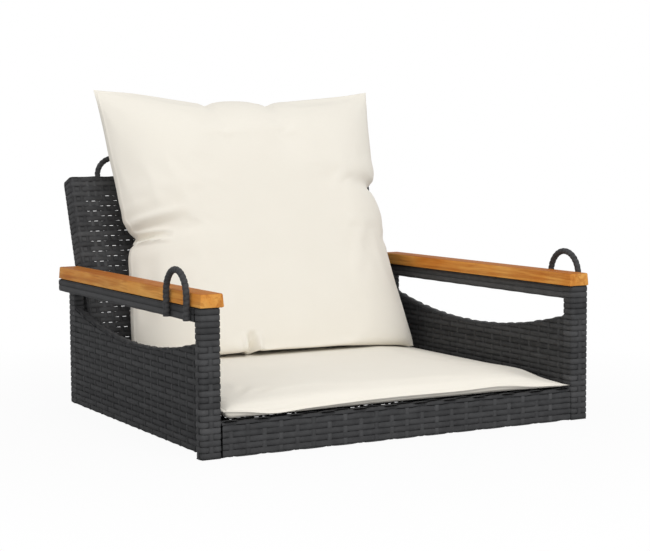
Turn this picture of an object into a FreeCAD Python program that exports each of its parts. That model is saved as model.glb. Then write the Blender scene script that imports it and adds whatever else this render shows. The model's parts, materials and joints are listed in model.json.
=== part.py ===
# One-seat hanging bench: woven arms, seat and back on a metal tube frame, with loose cushions.
# X runs across the bench, Y from front to back, Z up from the floor. Millimetres and degrees.
import FreeCAD, Part
import Sketcher
import math
import os
import re

from FreeCAD import Rotation, Vector

doc = FreeCAD.newDocument("SwingBench")
sheet = doc.addObject("Spreadsheet::Sheet", "Sizes")
places = doc.addObject("App::VarSet", "Places")
nodes = []

SIZES = {
    # whole bench, over the hanging loops and the armrest fronts
    "overall_width": 630,
    "overall_depth": 615,
    # arms
    "arm_height": 194,
    "armrest_width": 33.8,
    "armrest_thickness": 18,
    "armrest_edge_radius": 2,
    "armrest_lead": 1,
    "side_tube_width": 25,
    "side_tube_depth": 15,
    "tube_wall": 1.5,
    "weave_thickness": 2.5,
    # woven side panel with its curved upper edge
    "panel_foot_gap": 1,
    "panel_low_height": 121.3,
    "panel_low_offset": 2,
    "panel_curve_radius": 945,
    "panel_tube_width": 10,
    "rear_tube_depth": 23,
    # plastic foot caps in the front posts
    "cap_plate": 3,
    "cap_plug": 12,
    # seat frame
    "apron_setback": 1,
    "seat_side_gap": 0.6,
    "seat_tube_width": 20,
    "seat_tube_height": 42.5,
    "cross_bar_size": 20,
    "cross_bar_offset": 92,
    # back frame
    "back_length": 311,
    "back_tilt_degrees": 19.4,
    "back_tube_size": 20,
    "back_side_gap": 0.5,
    # hanging loops
    "loop_rod_diameter": 7,
    "loop_wrap_thickness": 1,
    "loop_radius": 32.5,
    "loop_stub_diameter": 5,
    "loop_leg_margin": 2,
    "arm_loop_margin": 10.5,
    "arm_loop_rise": 13,
    "back_loop_inset": 92.4,
    "back_loop_rise": 7,
    # fasteners
    "bolt_diameter": 5,
    "bolt_head_diameter": 9.5,
    "bolt_head_height": 3.5,
    "rivet_nut_diameter": 7,
    "rivet_nut_length": 8,
    "spacer_diameter": 14,
    "seat_bolt_inset": 69.5,
    "back_bolt_offset": 4.8,
    "foot_bolt_inset": 71.4,
    "foot_bolt_head_height": 2,
    "foot_bolt_reach": 22,
    "screw_diameter": 4,
    "screw_head_diameter": 8,
    "screw_bite": 12,
    # seat cushion
    "seat_cushion_side_gap": 7.4,
    "seat_cushion_back_gap": 0.8,
    "seat_cushion_thickness": 30,
    "seat_cushion_draw": 8,
    # back cushion
    "back_cushion_side_gap": 13.9,
    "back_cushion_height": 428,
    "back_cushion_thickness": 140,
    "back_cushion_draw": 20,
    "back_cushion_shift": 10,
    # clearances
    "fit_gap": 0.3,
    "hole_gap": 0.2,
    "overrun": 3,
}

PLACES = {
    "front": "-overall_depth / 2",
    "loop_diameter": "loop_rod_diameter + 2 * loop_wrap_thickness",
    # arms, measured on the right-hand side
    "side_outer": "overall_width / 2 - loop_diameter",
    "side_inner": "side_outer - side_tube_width - 2 * weave_thickness",
    "side_tube_outer": "side_outer - weave_thickness",
    "side_tube_inner": "side_inner + weave_thickness",
    "side_middle": "(side_outer + side_inner) / 2",
    "panel_tube_outer": "side_tube_inner + panel_tube_width",
    "panel_outer": "panel_tube_outer + weave_thickness",
    "panel_middle": "(panel_outer + side_inner) / 2",
    "edge_rod_diameter": "panel_tube_width - 2 * hole_gap",
    "armrest_outer": "side_outer - fit_gap",
    "armrest_inner": "armrest_outer - armrest_width",
    "wrap_depth": "side_tube_depth + 2 * weave_thickness",
    "post_front": "front + armrest_lead",
    "post_back": "post_front + wrap_depth",
    "rail_low": "arm_height - wrap_depth",
    "rail_middle": "arm_height - wrap_depth / 2",
    "rail_tube_end": "back_bolt + rivet_nut_diameter / 2 + fit_gap",
    "rail_end": "rail_tube_end + weave_thickness",
    "armrest_length": "rail_end + armrest_lead - front",
    "low_rail_middle": "panel_foot_gap + weave_thickness + side_tube_depth / 2",
    "curve_y": "(post_back + rear_post_front) / 2 + panel_low_offset",
    "curve_z": "panel_low_height + panel_curve_radius",
    # back, whose rear lower edge stands at back_foot on the seat
    "loop_reach": "back_length + back_loop_rise + loop_radius",
    "back_foot": "overall_depth / 2 - loop_diameter / 2 * (1 + cos(back_tilt_degrees))"
                 " - loop_reach * sin(back_tilt_degrees)",
    "seat_top": "seat_tube_height + 2 * weave_thickness",
    "back_base": "seat_top + fit_gap",
    "back_half": "min(side_inner; armrest_inner) - back_side_gap",
    "back_thickness": "back_tube_size + 2 * weave_thickness",
    "back_tube_front": "back_tube_size + weave_thickness",
    "rear_post_back": "rail_end",
    "rear_post_front": "rear_post_back - rear_tube_depth - 2 * weave_thickness",
    # seat frame
    "seat_half": "side_inner - seat_side_gap",
    "seat_front": "post_front + apron_setback",
    "seat_back": "back_foot",
    "seat_wrap": "seat_tube_width + 2 * weave_thickness",
    "seat_tube_top": "seat_top - weave_thickness",
    # bolt places; the back's bolt passes its upright at the height of the arm rail
    "front_seat_bolt": "post_back + seat_bolt_inset",
    "rear_seat_bolt": "rear_post_front - seat_bolt_inset",
    "back_bolt": "back_foot + (rail_middle - back_base) * tan(back_tilt_degrees) - back_bolt_offset"
                 " - (weave_thickness + back_tube_size / 2) / cos(back_tilt_degrees)",
    "foot_bolt": "seat_back - weave_thickness - seat_tube_width / 2",
    # hanging loops
    "loop_x": "side_outer + loop_diameter / 2",
    "arm_loop_y": "post_back + arm_loop_margin + loop_radius",
    "arm_loop_z": "arm_height + arm_loop_rise",
    "back_loop_z": "back_length + back_loop_rise",
    "back_loop_low": "back_length - back_thickness + loop_leg_margin",
    "top_rail_middle": "back_length - back_thickness / 2",
    # cushions, which lie between the arms
    "seat_cushion_half": "seat_half - seat_cushion_side_gap",
    "seat_cushion_depth": "seat_back - back_thickness - seat_cushion_back_gap - seat_front",
    "back_cushion_half": "armrest_inner - back_cushion_shift - back_cushion_side_gap",
}

SCREW_SHARES = (0.16, 0.5, 0.84)
WORDS = re.compile(r"[a-z_]+")


def link(text):
    """Point each named size in an expression at the sheet or the worked-out places."""
    def owner(match):
        word = match.group()
        if word in SIZES:
            return "Sizes." + word
        return "Places." + word if word in PLACES else word
    return WORDS.sub(owner, text)


def value(text):
    """A size or a place as a number."""
    return getattr(sheet if text in SIZES else places, text)


def fill_sizes():
    """Write the driving sizes to the sheet and bind the places worked out from them."""
    for row, (name, number) in enumerate(SIZES.items(), 1):
        sheet.set(f"A{row}", name)
        sheet.set(f"B{row}", str(number))
        sheet.setAlias(f"B{row}", name)
    doc.recompute()
    for name in PLACES:
        places.addProperty("App::PropertyFloat", name, "Places")
    for name, formula in PLACES.items():
        places.setExpression(name, link(formula))
    doc.recompute()


# Shapes that most pieces are made from

TURNS = {
    "X": Rotation(Vector(0, 1, 0), 90),
    "Y": Rotation(Vector(1, 0, 0), -90),
    "Z": Rotation(),
}
ARM_LOOP_TURN = Rotation(Vector(1, 1, 1), 120)
BACK_LOOP_TURN = Rotation(Vector(1, 0, 0), 90)
TILT = ("create(<<placement>>; create(<<vector>>; 0; Places.back_foot; Places.back_base);"
        " create(<<rotation>>; create(<<vector>>; 1; 0; 0); -Sizes.back_tilt_degrees))")


def put(obj, x, y, z):
    """Bind an object's place."""
    for axis, text in zip("xyz", (x, y, z)):
        obj.setExpression(f"Placement.Base.{axis}", link(text))


def block(name, x, y, z):
    """A box between pairs of named places."""
    box = doc.addObject("Part::Box", name)
    for side, (low, high) in zip(("Length", "Width", "Height"), (x, y, z)):
        box.setExpression(side, link(f"({high}) - ({low})"))
    put(box, x[0], y[0], z[0])
    return box


def rod(name, direction, diameter, x, y, z):
    """A cylinder along X, Y or Z, whose ends are a pair of places in that direction."""
    bar = doc.addObject("Part::Cylinder", name)
    bar.setExpression("Radius", link(f"({diameter}) / 2"))
    spans = dict(zip("XYZ", (x, y, z)))
    low, high = spans[direction]
    bar.setExpression("Height", link(f"({high}) - ({low})"))
    bar.Placement.Rotation = TURNS[direction]
    spans[direction] = low
    put(bar, *(spans[axis] for axis in "XYZ"))
    return bar


def ring(name, turn, radius, diameter, x, y, z, sweep):
    """A bent round bar: a torus, whole or half, about a named centre."""
    torus = doc.addObject("Part::Torus", name)
    torus.setExpression("Radius1", link(radius))
    torus.setExpression("Radius2", link(f"({diameter}) / 2"))
    torus.Angle3 = sweep
    torus.Placement.Rotation = turn
    put(torus, x, y, z)
    return torus


def cut(base, *tools):
    """Take each tool away from a piece."""
    for tool in tools:
        left = doc.addObject("Part::Cut", base.Name + "_cut")
        left.Base = base
        left.Tool = tool
        base = left
    return base


def fuse(name, *pieces):
    """Join solids into one."""
    whole = doc.addObject("Part::MultiFuse", name)
    whole.Shapes = pieces
    return whole


def group(label, pieces):
    """Pieces kept together under one name, each a solid of its own."""
    kit = doc.addObject("Part::Compound", label + "_kit")
    kit.Links = pieces
    return node(label, kit)


def node(label, obj):
    """Give a finished piece its name and list it for writing."""
    obj.Label = label
    nodes.append(obj)
    return obj


def tube(name, along, x, y, z):
    """A square or flat tube: the bar it is rolled from, and the bar with its bore cut out."""
    bar = block(name + "_bar", x, y, z)
    spans = []
    for axis, (low, high) in zip("XYZ", (x, y, z)):
        step = "-overrun" if axis == along else "tube_wall"
        spans.append((f"{low} + ({step})", f"{high} - ({step})"))
    return bar, cut(bar, block(name + "_bore", *spans))


def mirrored(side, low, high):
    """A span across X, named on the right-hand side, for either side of the bench."""
    return (low, high) if side == "right" else (f"-({high})", f"-({low})")


def facing(side, text):
    """A place across X, named on the right-hand side, for either side of the bench."""
    return text if side == "right" else f"-({text})"


def tilted(obj):
    """Lean a piece of the back from its upright drawing to its place."""
    obj.setExpression("Placement", TILT)
    return obj


# Bolts run from inside the seat and back frames into rivet nuts in the side tubes

BOLTS = {
    "front_seat": ("front_seat_bolt", "low_rail_middle", "seat_half - seat_wrap"),
    "rear_seat": ("rear_seat_bolt", "low_rail_middle", "seat_half - seat_wrap"),
    "back": ("back_bolt", "rail_middle", "back_half - back_thickness"),
}
HOLE = "bolt_diameter + 2 * hole_gap"
NUT_SEAT = "rivet_nut_diameter + 2 * hole_gap"
NUT_END = "side_tube_inner + rivet_nut_length"


def bolt_sets(side):
    """Bolts, rivet nuts and spacers of one side, and the holes that they pass through."""
    sets = {"bolts": [], "nuts": [], "spacers": [], "holes": {}, "seats": {}}
    for name, (y, z, seat) in BOLTS.items():
        tag = f"{side}_{name}"
        past = mirrored(side, f"{seat} - overrun", "side_tube_inner")
        under = mirrored(side, f"{seat} - bolt_head_height", seat)
        head = rod(tag + "_head", "X", "bolt_head_diameter", under, y, z)
        shank = rod(tag + "_shank", "X", "bolt_diameter", mirrored(side, seat, NUT_END), y, z)
        sets["bolts"].append(fuse(tag + "_bolt", head, shank))
        span = mirrored(side, "side_tube_inner", NUT_END)
        bore = mirrored(side, "side_tube_inner - overrun", NUT_END + " + hole_gap")
        nut = rod(tag + "_nut", "X", "rivet_nut_diameter", span, y, z)
        sets["nuts"].append(cut(nut, rod(tag + "_nut_bore", "X", HOLE, bore, y, z)))
        sets["holes"][name] = rod(tag + "_hole", "X", HOLE, past, y, z)
        sets["seats"][name] = rod(tag + "_seat", "X", NUT_SEAT, bore, y, z)
        if name == "back":
            gap = mirrored(side, "back_half", "side_inner")
            washer = rod(tag + "_spacer", "X", "spacer_diameter", gap, y, z)
            sets["spacers"].append(cut(washer, sets["holes"][name]))
    return sets


def foot_bolts():
    """Upright bolts that hold the back's foot to the seat's rear rail, and the holes for them."""
    bolts, holes, pockets = [], [], []
    low = "weave_thickness"
    high = "seat_top + foot_bolt_reach"
    under = (f"{low} - foot_bolt_head_height", low)
    for side in ("left", "right"):
        tag = f"{side}_foot_bolt"
        x = facing(side, "back_half - foot_bolt_inset")
        head = rod(tag + "_head", "Z", "bolt_head_diameter", x, "foot_bolt", under)
        shank = rod(tag + "_shank", "Z", "bolt_diameter", x, "foot_bolt", (low, high))
        bolts.append(fuse(tag, head, shank))
        holes.append(rod(tag + "_hole", "Z", HOLE, x, "foot_bolt", ("0 - overrun", high)))
        pocket = "bolt_head_diameter + 2 * hole_gap"
        pockets.append(rod(tag + "_pocket", "Z", pocket, x, "foot_bolt", ("0 - overrun", low)))
    return bolts, holes, pockets


def screw_set(side):
    """Armrest screws of one side, and the holes for their shanks and heads."""
    screws, shank_holes, head_holes = [], [], []
    x = facing(side, "side_middle")
    under = "rail_low + weave_thickness"
    tip = "arm_height + screw_bite"
    for number, share in enumerate(SCREW_SHARES, 1):
        tag = f"{side}_screw_{number}"
        y = f"front + {share} * armrest_length"
        head = rod(tag + "_head", "Z", "screw_head_diameter", x, y, ("rail_low", under))
        shank = rod(tag + "_shank", "Z", "screw_diameter", x, y, (under, tip))
        screws.append(fuse(tag, head, shank))
        hole = "screw_diameter + 2 * hole_gap"
        pocket = "screw_head_diameter + 2 * hole_gap"
        shank_holes.append(rod(tag + "_hole", "Z", hole, x, y, (under + " - overrun", tip + " + hole_gap")))
        head_holes.append(rod(tag + "_pocket", "Z", pocket, x, y, ("rail_low - overrun", under)))
    return screws, shank_holes, head_holes


# Arms

STUB_HOLE = "loop_stub_diameter + 2 * hole_gap"
LOOP_BORE = "loop_rod_diameter + hole_gap"


def loop_bar(name, diameter, ends):
    """Half ring and two legs of an arm's hanging loop, at a given bar thickness."""
    x = ends["x"]
    upright = ("rail_low + loop_leg_margin", "arm_loop_z")
    bow = ring(name + "_bow", ARM_LOOP_TURN, "loop_radius", diameter, x, "arm_loop_y", "arm_loop_z", 180)
    legs = [rod(f"{name}_{tag}_leg", "Z", diameter, x, y, upright) for tag, y in ends["legs"].items()]
    return fuse(name, bow, *legs)


def arm_loop(side):
    """Front hanging loop: a bent bar on two weld stubs, its wound wrap, and the stub holes."""
    legs = {"front": "arm_loop_y - loop_radius", "rear": "arm_loop_y + loop_radius"}
    ends = {"x": facing(side, "loop_x"), "legs": legs}
    reach = mirrored(side, "side_tube_outer", "loop_x")
    stubs, holes = [], []
    for tag, y in legs.items():
        name = f"{side}_{tag}_stub"
        stubs.append(rod(name, "X", "loop_stub_diameter", reach, y, "rail_middle"))
        holes.append(rod(name + "_hole", "X", STUB_HOLE, reach, y, "rail_middle"))
    bar = loop_bar(f"{side}_loop_bar", "loop_rod_diameter", ends)
    node(f"{side}_front_loop", fuse(f"{side}_loop", bar, *stubs))
    jacket = loop_bar(f"{side}_loop_jacket", "loop_diameter", ends)
    core = loop_bar(f"{side}_loop_core", LOOP_BORE, ends)
    past = ("rail_low", "rail_middle")
    longer = [rod(f"{side}_{tag}_core_end", "Z", LOOP_BORE, ends["x"], y, past) for tag, y in legs.items()]
    node(f"{side}_front_loop_wrap", cut(jacket, core, *longer, *holes))
    return holes


def armrest(side, holes):
    """Wooden armrest board with eased edges and blind screw holes in its underside."""
    body = doc.addObject("PartDesign::Body", f"{side}_armrest_board")
    sketch = body.newObject("Sketcher::SketchObject", f"{side}_armrest_outline")
    plane = next(f for f in body.Origin.OriginFeatures if f.Role == "XY_Plane")
    sketch.AttachmentSupport = [(plane, "")]
    sketch.MapMode = "FlatFace"
    rectangle(sketch, "armrest_width", "armrest_length")
    pad = body.newObject("PartDesign::Pad", f"{side}_armrest_pad")
    pad.Profile = sketch
    pad.setExpression("Length", link("armrest_thickness"))
    doc.recompute()
    eased = body.newObject("PartDesign::Fillet", f"{side}_armrest_eased")
    eased.Base = (pad, [f"Edge{n}" for n in range(1, len(pad.Shape.Edges) + 1)])
    eased.setExpression("Radius", link("armrest_edge_radius"))
    body.Tip = eased
    put(body, mirrored(side, "armrest_inner", "armrest_outer")[0], "front", "arm_height")
    node(f"{side}_armrest", cut(body, *holes))


def rectangle(sketch, width, length):
    """Draw a rectangle from the sketch's origin and bind its two sides."""
    across, along = value(width), value(length)
    corners = [Vector(0, 0), Vector(across, 0), Vector(across, along), Vector(0, along)]
    for first, second in zip(corners, corners[1:] + corners[:1]):
        sketch.addGeometry(Part.LineSegment(first, second))
    make = Sketcher.Constraint
    for line in range(4):
        sketch.addConstraint(make("Coincident", line, 2, (line + 1) % 4, 1))
        sketch.addConstraint(make("Vertical" if line % 2 else "Horizontal", line))
    sketch.addConstraint(make("Coincident", 0, 1, -1, 1))
    for name, line, text in (("Across", 0, width), ("Along", 1, length)):
        index = sketch.addConstraint(make("Distance", line, value(text)))
        sketch.renameConstraint(index, name)
        sketch.setExpression(f"Constraints.{name}", link(text))


def foot_cap(side, wrap_x, tube_x, post_y):
    """A plastic cap under a front post: a plate with a plug that fits the tube's bore."""
    plate = block(f"{side}_cap_plate", wrap_x, ("post_front", "post_back"), ("0", "cap_plate"))
    inset = "(tube_wall + hole_gap)"
    bore = [(f"{low} + {inset}", f"{high} - {inset}") for low, high in (tube_x, post_y)]
    plug = block(f"{side}_cap_plug", *bore, ("cap_plate", "cap_plate + cap_plug"))
    return fuse(f"{side}_foot_cap", plate, plug)


def side_frame(side, bolts, screws):
    """One arm: tubes, woven wraps, woven panel, armrest and hanging loop; hands back its foot cap."""
    wrap_x = mirrored(side, "side_inner", "side_outer")
    tube_x = mirrored(side, "side_tube_inner", "side_tube_outer")
    panel_x = mirrored(side, "side_inner", "panel_outer")
    panel_tube_x = mirrored(side, "side_tube_inner", "panel_tube_outer")
    post_y = ("post_front + weave_thickness", "post_back - weave_thickness")
    rear_y = ("rear_post_front + weave_thickness", "rear_post_back - weave_thickness")
    between_y = (post_y[1], rear_y[0])
    rail_z = ("rail_low + weave_thickness", "arm_height - weave_thickness")
    low_z = ("panel_foot_gap + weave_thickness", "panel_foot_gap + weave_thickness + side_tube_depth")
    _, shank_holes, head_holes = screws
    hole, seat = bolts["holes"], bolts["seats"]

    post_bar, post = tube(f"{side}_front_post", "Z", tube_x, post_y, ("cap_plate", "arm_height"))
    rear_bar, rear = tube(f"{side}_rear_post", "Z", panel_tube_x, rear_y, (low_z[0], rail_z[0]))
    rail_bar, rail = tube(f"{side}_arm_rail", "Y", tube_x, (post_y[1], "rail_tube_end"), rail_z)
    low_bar, low_rail = tube(f"{side}_lower_rail", "Y", panel_tube_x, between_y, low_z)
    edge_radius = "panel_curve_radius + weave_thickness + edge_rod_diameter / 2"
    bow = ring(f"{side}_edge_bow", ARM_LOOP_TURN, edge_radius, "edge_rod_diameter",
               facing(side, "panel_middle"), "curve_y", "curve_z", 360)
    edge = doc.addObject("Part::Common", f"{side}_edge")
    edge.Base = bow
    edge.Tool = block(f"{side}_edge_span", panel_x, between_y, ("panel_foot_gap", "rail_low"))

    node(f"{side}_front_post_tube", post)
    node(f"{side}_rear_post_tube", rear)
    node(f"{side}_arm_rail_tube", cut(rail, seat["back"], *shank_holes))
    node(f"{side}_lower_rail_tube", cut(low_rail, seat["front_seat"], seat["rear_seat"]))
    node(f"{side}_edge_rod", edge)

    sleeve = block(f"{side}_front_sleeve", wrap_x, ("post_front", "post_back"), ("cap_plate", "arm_height"))
    node(f"{side}_front_post_wrap", cut(sleeve, post_bar, rail_bar, low_bar, edge))
    rear_span = ("rear_post_front", "rear_post_back")
    sleeve = block(f"{side}_rear_sleeve", panel_x, rear_span, ("panel_foot_gap", "rail_low"))
    node(f"{side}_rear_post_wrap", cut(sleeve, rear_bar, low_bar, edge))
    stub_holes = arm_loop(side)
    sleeve = block(f"{side}_rail_sleeve", wrap_x, ("post_back", "rail_end"), ("rail_low", "arm_height"))
    node(f"{side}_arm_rail_wrap", cut(sleeve, rail_bar, rear_bar, hole["back"],
                                      *shank_holes, *head_holes, *stub_holes))
    bolt_holes = (hole["front_seat"], hole["rear_seat"])
    node(f"{side}_side_weave", side_panel(side, panel_x, panel_tube_x, bolt_holes))
    armrest(side, shank_holes)
    return foot_cap(side, wrap_x, tube_x, post_y)


def side_panel(side, wrap_x, tube_x, holes):
    """Double woven skin between the posts, closed above along the curved edge and below."""
    span = ("post_back", "rear_post_front")
    curve = {}
    for tag, radius in (("outer", "panel_curve_radius"), ("inner", "panel_curve_radius + weave_thickness")):
        wide = (f"{wrap_x[0]} - overrun", f"{wrap_x[1]} + overrun")
        curve[tag] = rod(f"{side}_{tag}_curve", "X", f"2 * ({radius})", wide, "curve_y", "curve_z")
    skin = cut(block(f"{side}_panel", wrap_x, span, ("panel_foot_gap", "rail_low")), curve["outer"])
    long = (span[0] + " - overrun", span[1] + " + overrun")
    hollow = block(f"{side}_hollow", tube_x, long, ("panel_foot_gap + weave_thickness", "rail_low"))
    return cut(skin, cut(hollow, curve["inner"]), *holes)


# Seat

def seat_frame(bolts, foot):
    """Rails, cross bars, woven aprons and side wraps, and the open woven seat."""
    _, foot_holes, foot_pockets = foot
    tube_z = ("weave_thickness", "seat_tube_top")
    skin_z = ("0", "seat_tube_top")
    half, inner = "seat_half - weave_thickness", "seat_half - seat_wrap"
    front_y = ("seat_front + weave_thickness", "seat_front + weave_thickness + seat_tube_width")
    rear_y = ("seat_back - weave_thickness - seat_tube_width", "seat_back - weave_thickness")
    between_y = (front_y[1], rear_y[0])
    wide = (f"-({half})", half)
    front_bar, front_rail = tube("seat_front", "X", wide, front_y, tube_z)
    rear_bar, rear_rail = tube("seat_rear", "X", wide, rear_y, tube_z)
    node("seat_front_rail", front_rail)
    node("seat_rear_rail", cut(rear_rail, *foot_holes))

    bars = []
    cross = []
    for side in ("left", "right"):
        at = facing(side, "cross_bar_offset")
        span_x = (f"{at} - cross_bar_size / 2", f"{at} + cross_bar_size / 2")
        bar, piece = tube(f"seat_{side}_cross", "Y", span_x, between_y,
                          ("seat_tube_top - cross_bar_size", "seat_tube_top"))
        bars.append(bar)
        cross.append(piece)
    group("seat_cross_bars", cross)

    for side in ("left", "right"):
        holes = [bolts[side]["holes"]["front_seat"], bolts[side]["holes"]["rear_seat"]]
        span_x = mirrored(side, f"{half} - seat_tube_width", half)
        bar, rail = tube(f"seat_{side}", "Y", span_x, between_y, tube_z)
        bars.append(bar)
        node(f"seat_{side}_rail", cut(rail, *holes))
        skin = block(f"seat_{side}_skin", mirrored(side, inner, "seat_half"),
                     ("seat_front + seat_wrap", "seat_back - seat_wrap"), skin_z)
        node(f"seat_{side}_wrap", cut(skin, bar, *holes))

    across = ("-seat_half", "seat_half")
    apron = block("front_skin", across, ("seat_front", "seat_front + seat_wrap"), skin_z)
    node("front_apron_weave", cut(apron, front_bar, *bars))
    apron = block("rear_skin", across, ("seat_back - seat_wrap", "seat_back"), skin_z)
    node("rear_apron_weave", cut(apron, rear_bar, *bars, *foot_pockets))
    top = block("seat_sheet", across, ("seat_front", "seat_back"), ("seat_tube_top", "seat_top"))
    node("seat_weave", cut(top, *foot_holes))


# Back, drawn upright from its rear lower edge and then leaned

def back_frame(bolts, foot):
    """Uprights, rails, centre bar, woven border wraps and the open woven back."""
    foot_holes = foot[1]
    depth = ("-back_tube_front", "-weave_thickness")
    skin_y = ("-back_tube_front", "0")
    half, inner = "back_half - weave_thickness", "back_half - back_thickness"
    post_in = f"{half} - back_tube_size"
    low_z = ("weave_thickness", "weave_thickness + back_tube_size")
    high_z = ("back_length - weave_thickness - back_tube_size", "back_length - weave_thickness")
    rails_x = (f"-({post_in})", post_in)
    top_bar, top = tube("back_top", "X", rails_x, depth, high_z)
    low_bar, low = tube("back_low", "X", rails_x, depth, low_z)
    mid_bar, middle = tube("back_middle", "Z", ("-back_tube_size / 2", "back_tube_size / 2"), depth,
                           (low_z[1], high_z[0]))
    node("back_bottom_rail", cut(tilted(low), *foot_holes))
    node("back_centre_bar", tilted(middle))

    for side in ("left", "right"):
        hole = bolts[side]["holes"]["back"]
        bar, upright = tube(f"back_{side}", "Z", mirrored(side, post_in, half), depth, (low_z[0], high_z[1]))
        node(f"back_{side}_upright", cut(tilted(upright), hole))
        skin = block(f"back_{side}_skin", mirrored(side, inner, "back_half"), skin_y, ("0", "back_length"))
        node(f"back_{side}_wrap", cut(tilted(cut(skin, bar, top_bar, low_bar)), hole))

    stub_holes = [hole for side in ("left", "right") for hole in back_loop(side)]
    span = (f"-({inner})", inner)
    skin = block("back_top_skin", span, skin_y, ("back_length - back_thickness", "back_length"))
    node("back_top_wrap", tilted(cut(skin, top_bar, mid_bar, *stub_holes)))
    node("back_top_rail", tilted(top))
    skin = block("back_low_skin", span, skin_y, ("0", "back_thickness"))
    node("back_bottom_wrap", cut(tilted(cut(skin, low_bar, mid_bar)), *foot_holes))
    sheet_y = ("-back_thickness", "-back_tube_front")
    front = block("back_sheet", ("-back_half", "back_half"), sheet_y, ("0", "back_length"))
    tilted(group("back_weave", [front]))


def back_loop_bar(name, diameter, x, legs, low):
    """Half ring and two legs of a back hanging loop, at a given bar thickness."""
    y = "loop_diameter / 2"
    bow = ring(name + "_bow", BACK_LOOP_TURN, "loop_radius", diameter, x, y, "back_loop_z", 180)
    span = (low, "back_loop_z")
    bars = [rod(f"{name}_{tag}_leg", "Z", diameter, leg, y, span) for tag, leg in legs.items()]
    return fuse(name, bow, *bars)


def back_loop(side):
    """Back hanging loop on the rear of the top rail: bar with weld stubs, and its wound wrap."""
    x = facing(side, "back_half - back_loop_inset")
    legs = {"left": f"{x} - loop_radius", "right": f"{x} + loop_radius"}
    reach = ("-weave_thickness", "loop_diameter / 2")
    stubs, holes = [], []
    for tag, leg in legs.items():
        name = f"back_{side}_{tag}_stub"
        stubs.append(rod(name, "Y", "loop_stub_diameter", leg, reach, "top_rail_middle"))
        holes.append(rod(name + "_hole", "Y", STUB_HOLE, leg, reach, "top_rail_middle"))
    bar = back_loop_bar(f"back_{side}_loop_bar", "loop_rod_diameter", x, legs, "back_loop_low")
    node(f"back_{side}_loop", tilted(fuse(f"back_{side}_loop_whole", bar, *stubs)))
    jacket = back_loop_bar(f"back_{side}_jacket", "loop_diameter", x, legs, "back_loop_low")
    core = back_loop_bar(f"back_{side}_core", LOOP_BORE, x, legs, "back_loop_low - overrun")
    node(f"back_{side}_loop_wrap", tilted(cut(jacket, core, *holes)))
    return holes


# Cushions: a stack of outlines with drawn-in sides, lofted into a crowned pad

CROWN_ANGLES = (-75, -50, -25, 0, 25, 50, 75)
# seam's depth through the pad, and how far its lower and upper faces draw in from the seam
SEAT_CUSHION_SHARES = (0.36, 0.06, 0.24)
BACK_CUSHION_SHARES = (0.45, 0.19, 0.27)
SAGGED_FOOT_SHARE = 0.3


def crown_steps(shares):
    """Depth and inset shares of a pad's outlines, along a quarter ellipse on each side of its seam."""
    seam, low_inset, high_inset = shares
    last = math.radians(CROWN_ANGLES[-1])
    for angle in map(math.radians, CROWN_ANGLES):
        rise = math.sin(angle) / math.sin(last)
        inset = (1 - math.cos(angle)) / (1 - math.cos(last))
        if rise > 0:
            yield seam + (1 - seam) * rise, high_inset * inset
        else:
            yield seam + seam * rise, low_inset * inset


def pad_outline(half, low, high, draw, height):
    """Four shallow arcs between four corners, each bowed inwards by the draw."""
    middle = (low + high) / 2
    corners = [Vector(-half, low, height), Vector(half, low, height),
               Vector(half, high, height), Vector(-half, high, height)]
    bows = [Vector(0, low + draw, height), Vector(half - draw, middle, height),
            Vector(0, high - draw, height), Vector(draw - half, middle, height)]
    edges = [Part.Arc(corners[n], bows[n], corners[(n + 1) % 4]).toShape() for n in range(4)]
    return Part.Wire(edges)


def seat_cushion():
    """Thin seat pad: flat below, widest at its seam, crowned above."""
    half, deep = value("seat_cushion_half"), value("seat_cushion_depth")
    thick, draw = value("seat_cushion_thickness"), value("seat_cushion_draw")
    outlines = []
    for height_share, inset_share in crown_steps(SEAT_CUSHION_SHARES):
        inset = inset_share * deep
        outlines.append(pad_outline(half - inset, inset, deep - inset, draw, height_share * thick))
    pad = doc.addObject("Part::Feature", "seat_pad")
    pad.Shape = Part.makeLoft(outlines, True, True)
    put(pad, "0", "seat_front", "seat_top + fit_gap")
    node("seat_cushion", pad)


def back_cushion():
    """Thick back pillow: leans on the back sheet and stands on the seat pad, bulging forward."""
    half, tall = value("back_cushion_half"), value("back_cushion_height")
    thick, draw = value("back_cushion_thickness"), value("back_cushion_draw")
    tilt = value("back_tilt_degrees")
    lean = Rotation(Vector(1, 0, 0), -tilt)
    foot = value("seat_cushion_thickness") + 2 * value("fit_gap")
    outlines = []
    for depth_share, inset_share in crown_steps(BACK_CUSHION_SHARES):
        depth = depth_share * thick
        inset = inset_share * tall
        front = value("back_thickness") + value("fit_gap") + depth
        low = foot_line(lean, front, foot) + SAGGED_FOOT_SHARE * inset
        outlines.append(pad_outline(half - inset, low, tall - inset, draw, front))
    pad = doc.addObject("Part::Feature", "back_pad")
    pillow = Part.makeLoft(outlines, True, False)
    pillow.rotate(Vector(), Vector(1, 0, 0), 90)
    pillow.rotate(Vector(), Vector(1, 0, 0), -tilt)
    pad.Shape = pillow
    put(pad, "back_cushion_shift", "back_foot", "seat_top + fit_gap")
    node("back_cushion", pad)


def foot_line(lean, front, foot):
    """Height up the leaned back at which a point at the given depth meets the seat pad's top."""
    across = lean.multVec(Vector(0, -front, 0))
    along = lean.multVec(Vector(0, 0, 1))
    return (foot - across.z) / along.z


def fastener_nodes(bolts, screws, foot):
    """Gather the like fasteners of both sides."""
    sides = ("left", "right")
    group("armrest_screws", [screw for side in sides for screw in screws[side][0]])
    seat, back = [], []
    for side in sides:
        for name, bolt in zip(BOLTS, bolts[side]["bolts"]):
            (back if name == "back" else seat).append(bolt)
    group("seat_bolts", seat)
    group("back_bolts", back)
    group("back_foot_bolts", foot[0])
    group("rivet_nuts", [nut for side in sides for nut in bolts[side]["nuts"]])
    group("back_spacers", [spacer for side in sides for spacer in bolts[side]["spacers"]])


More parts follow.
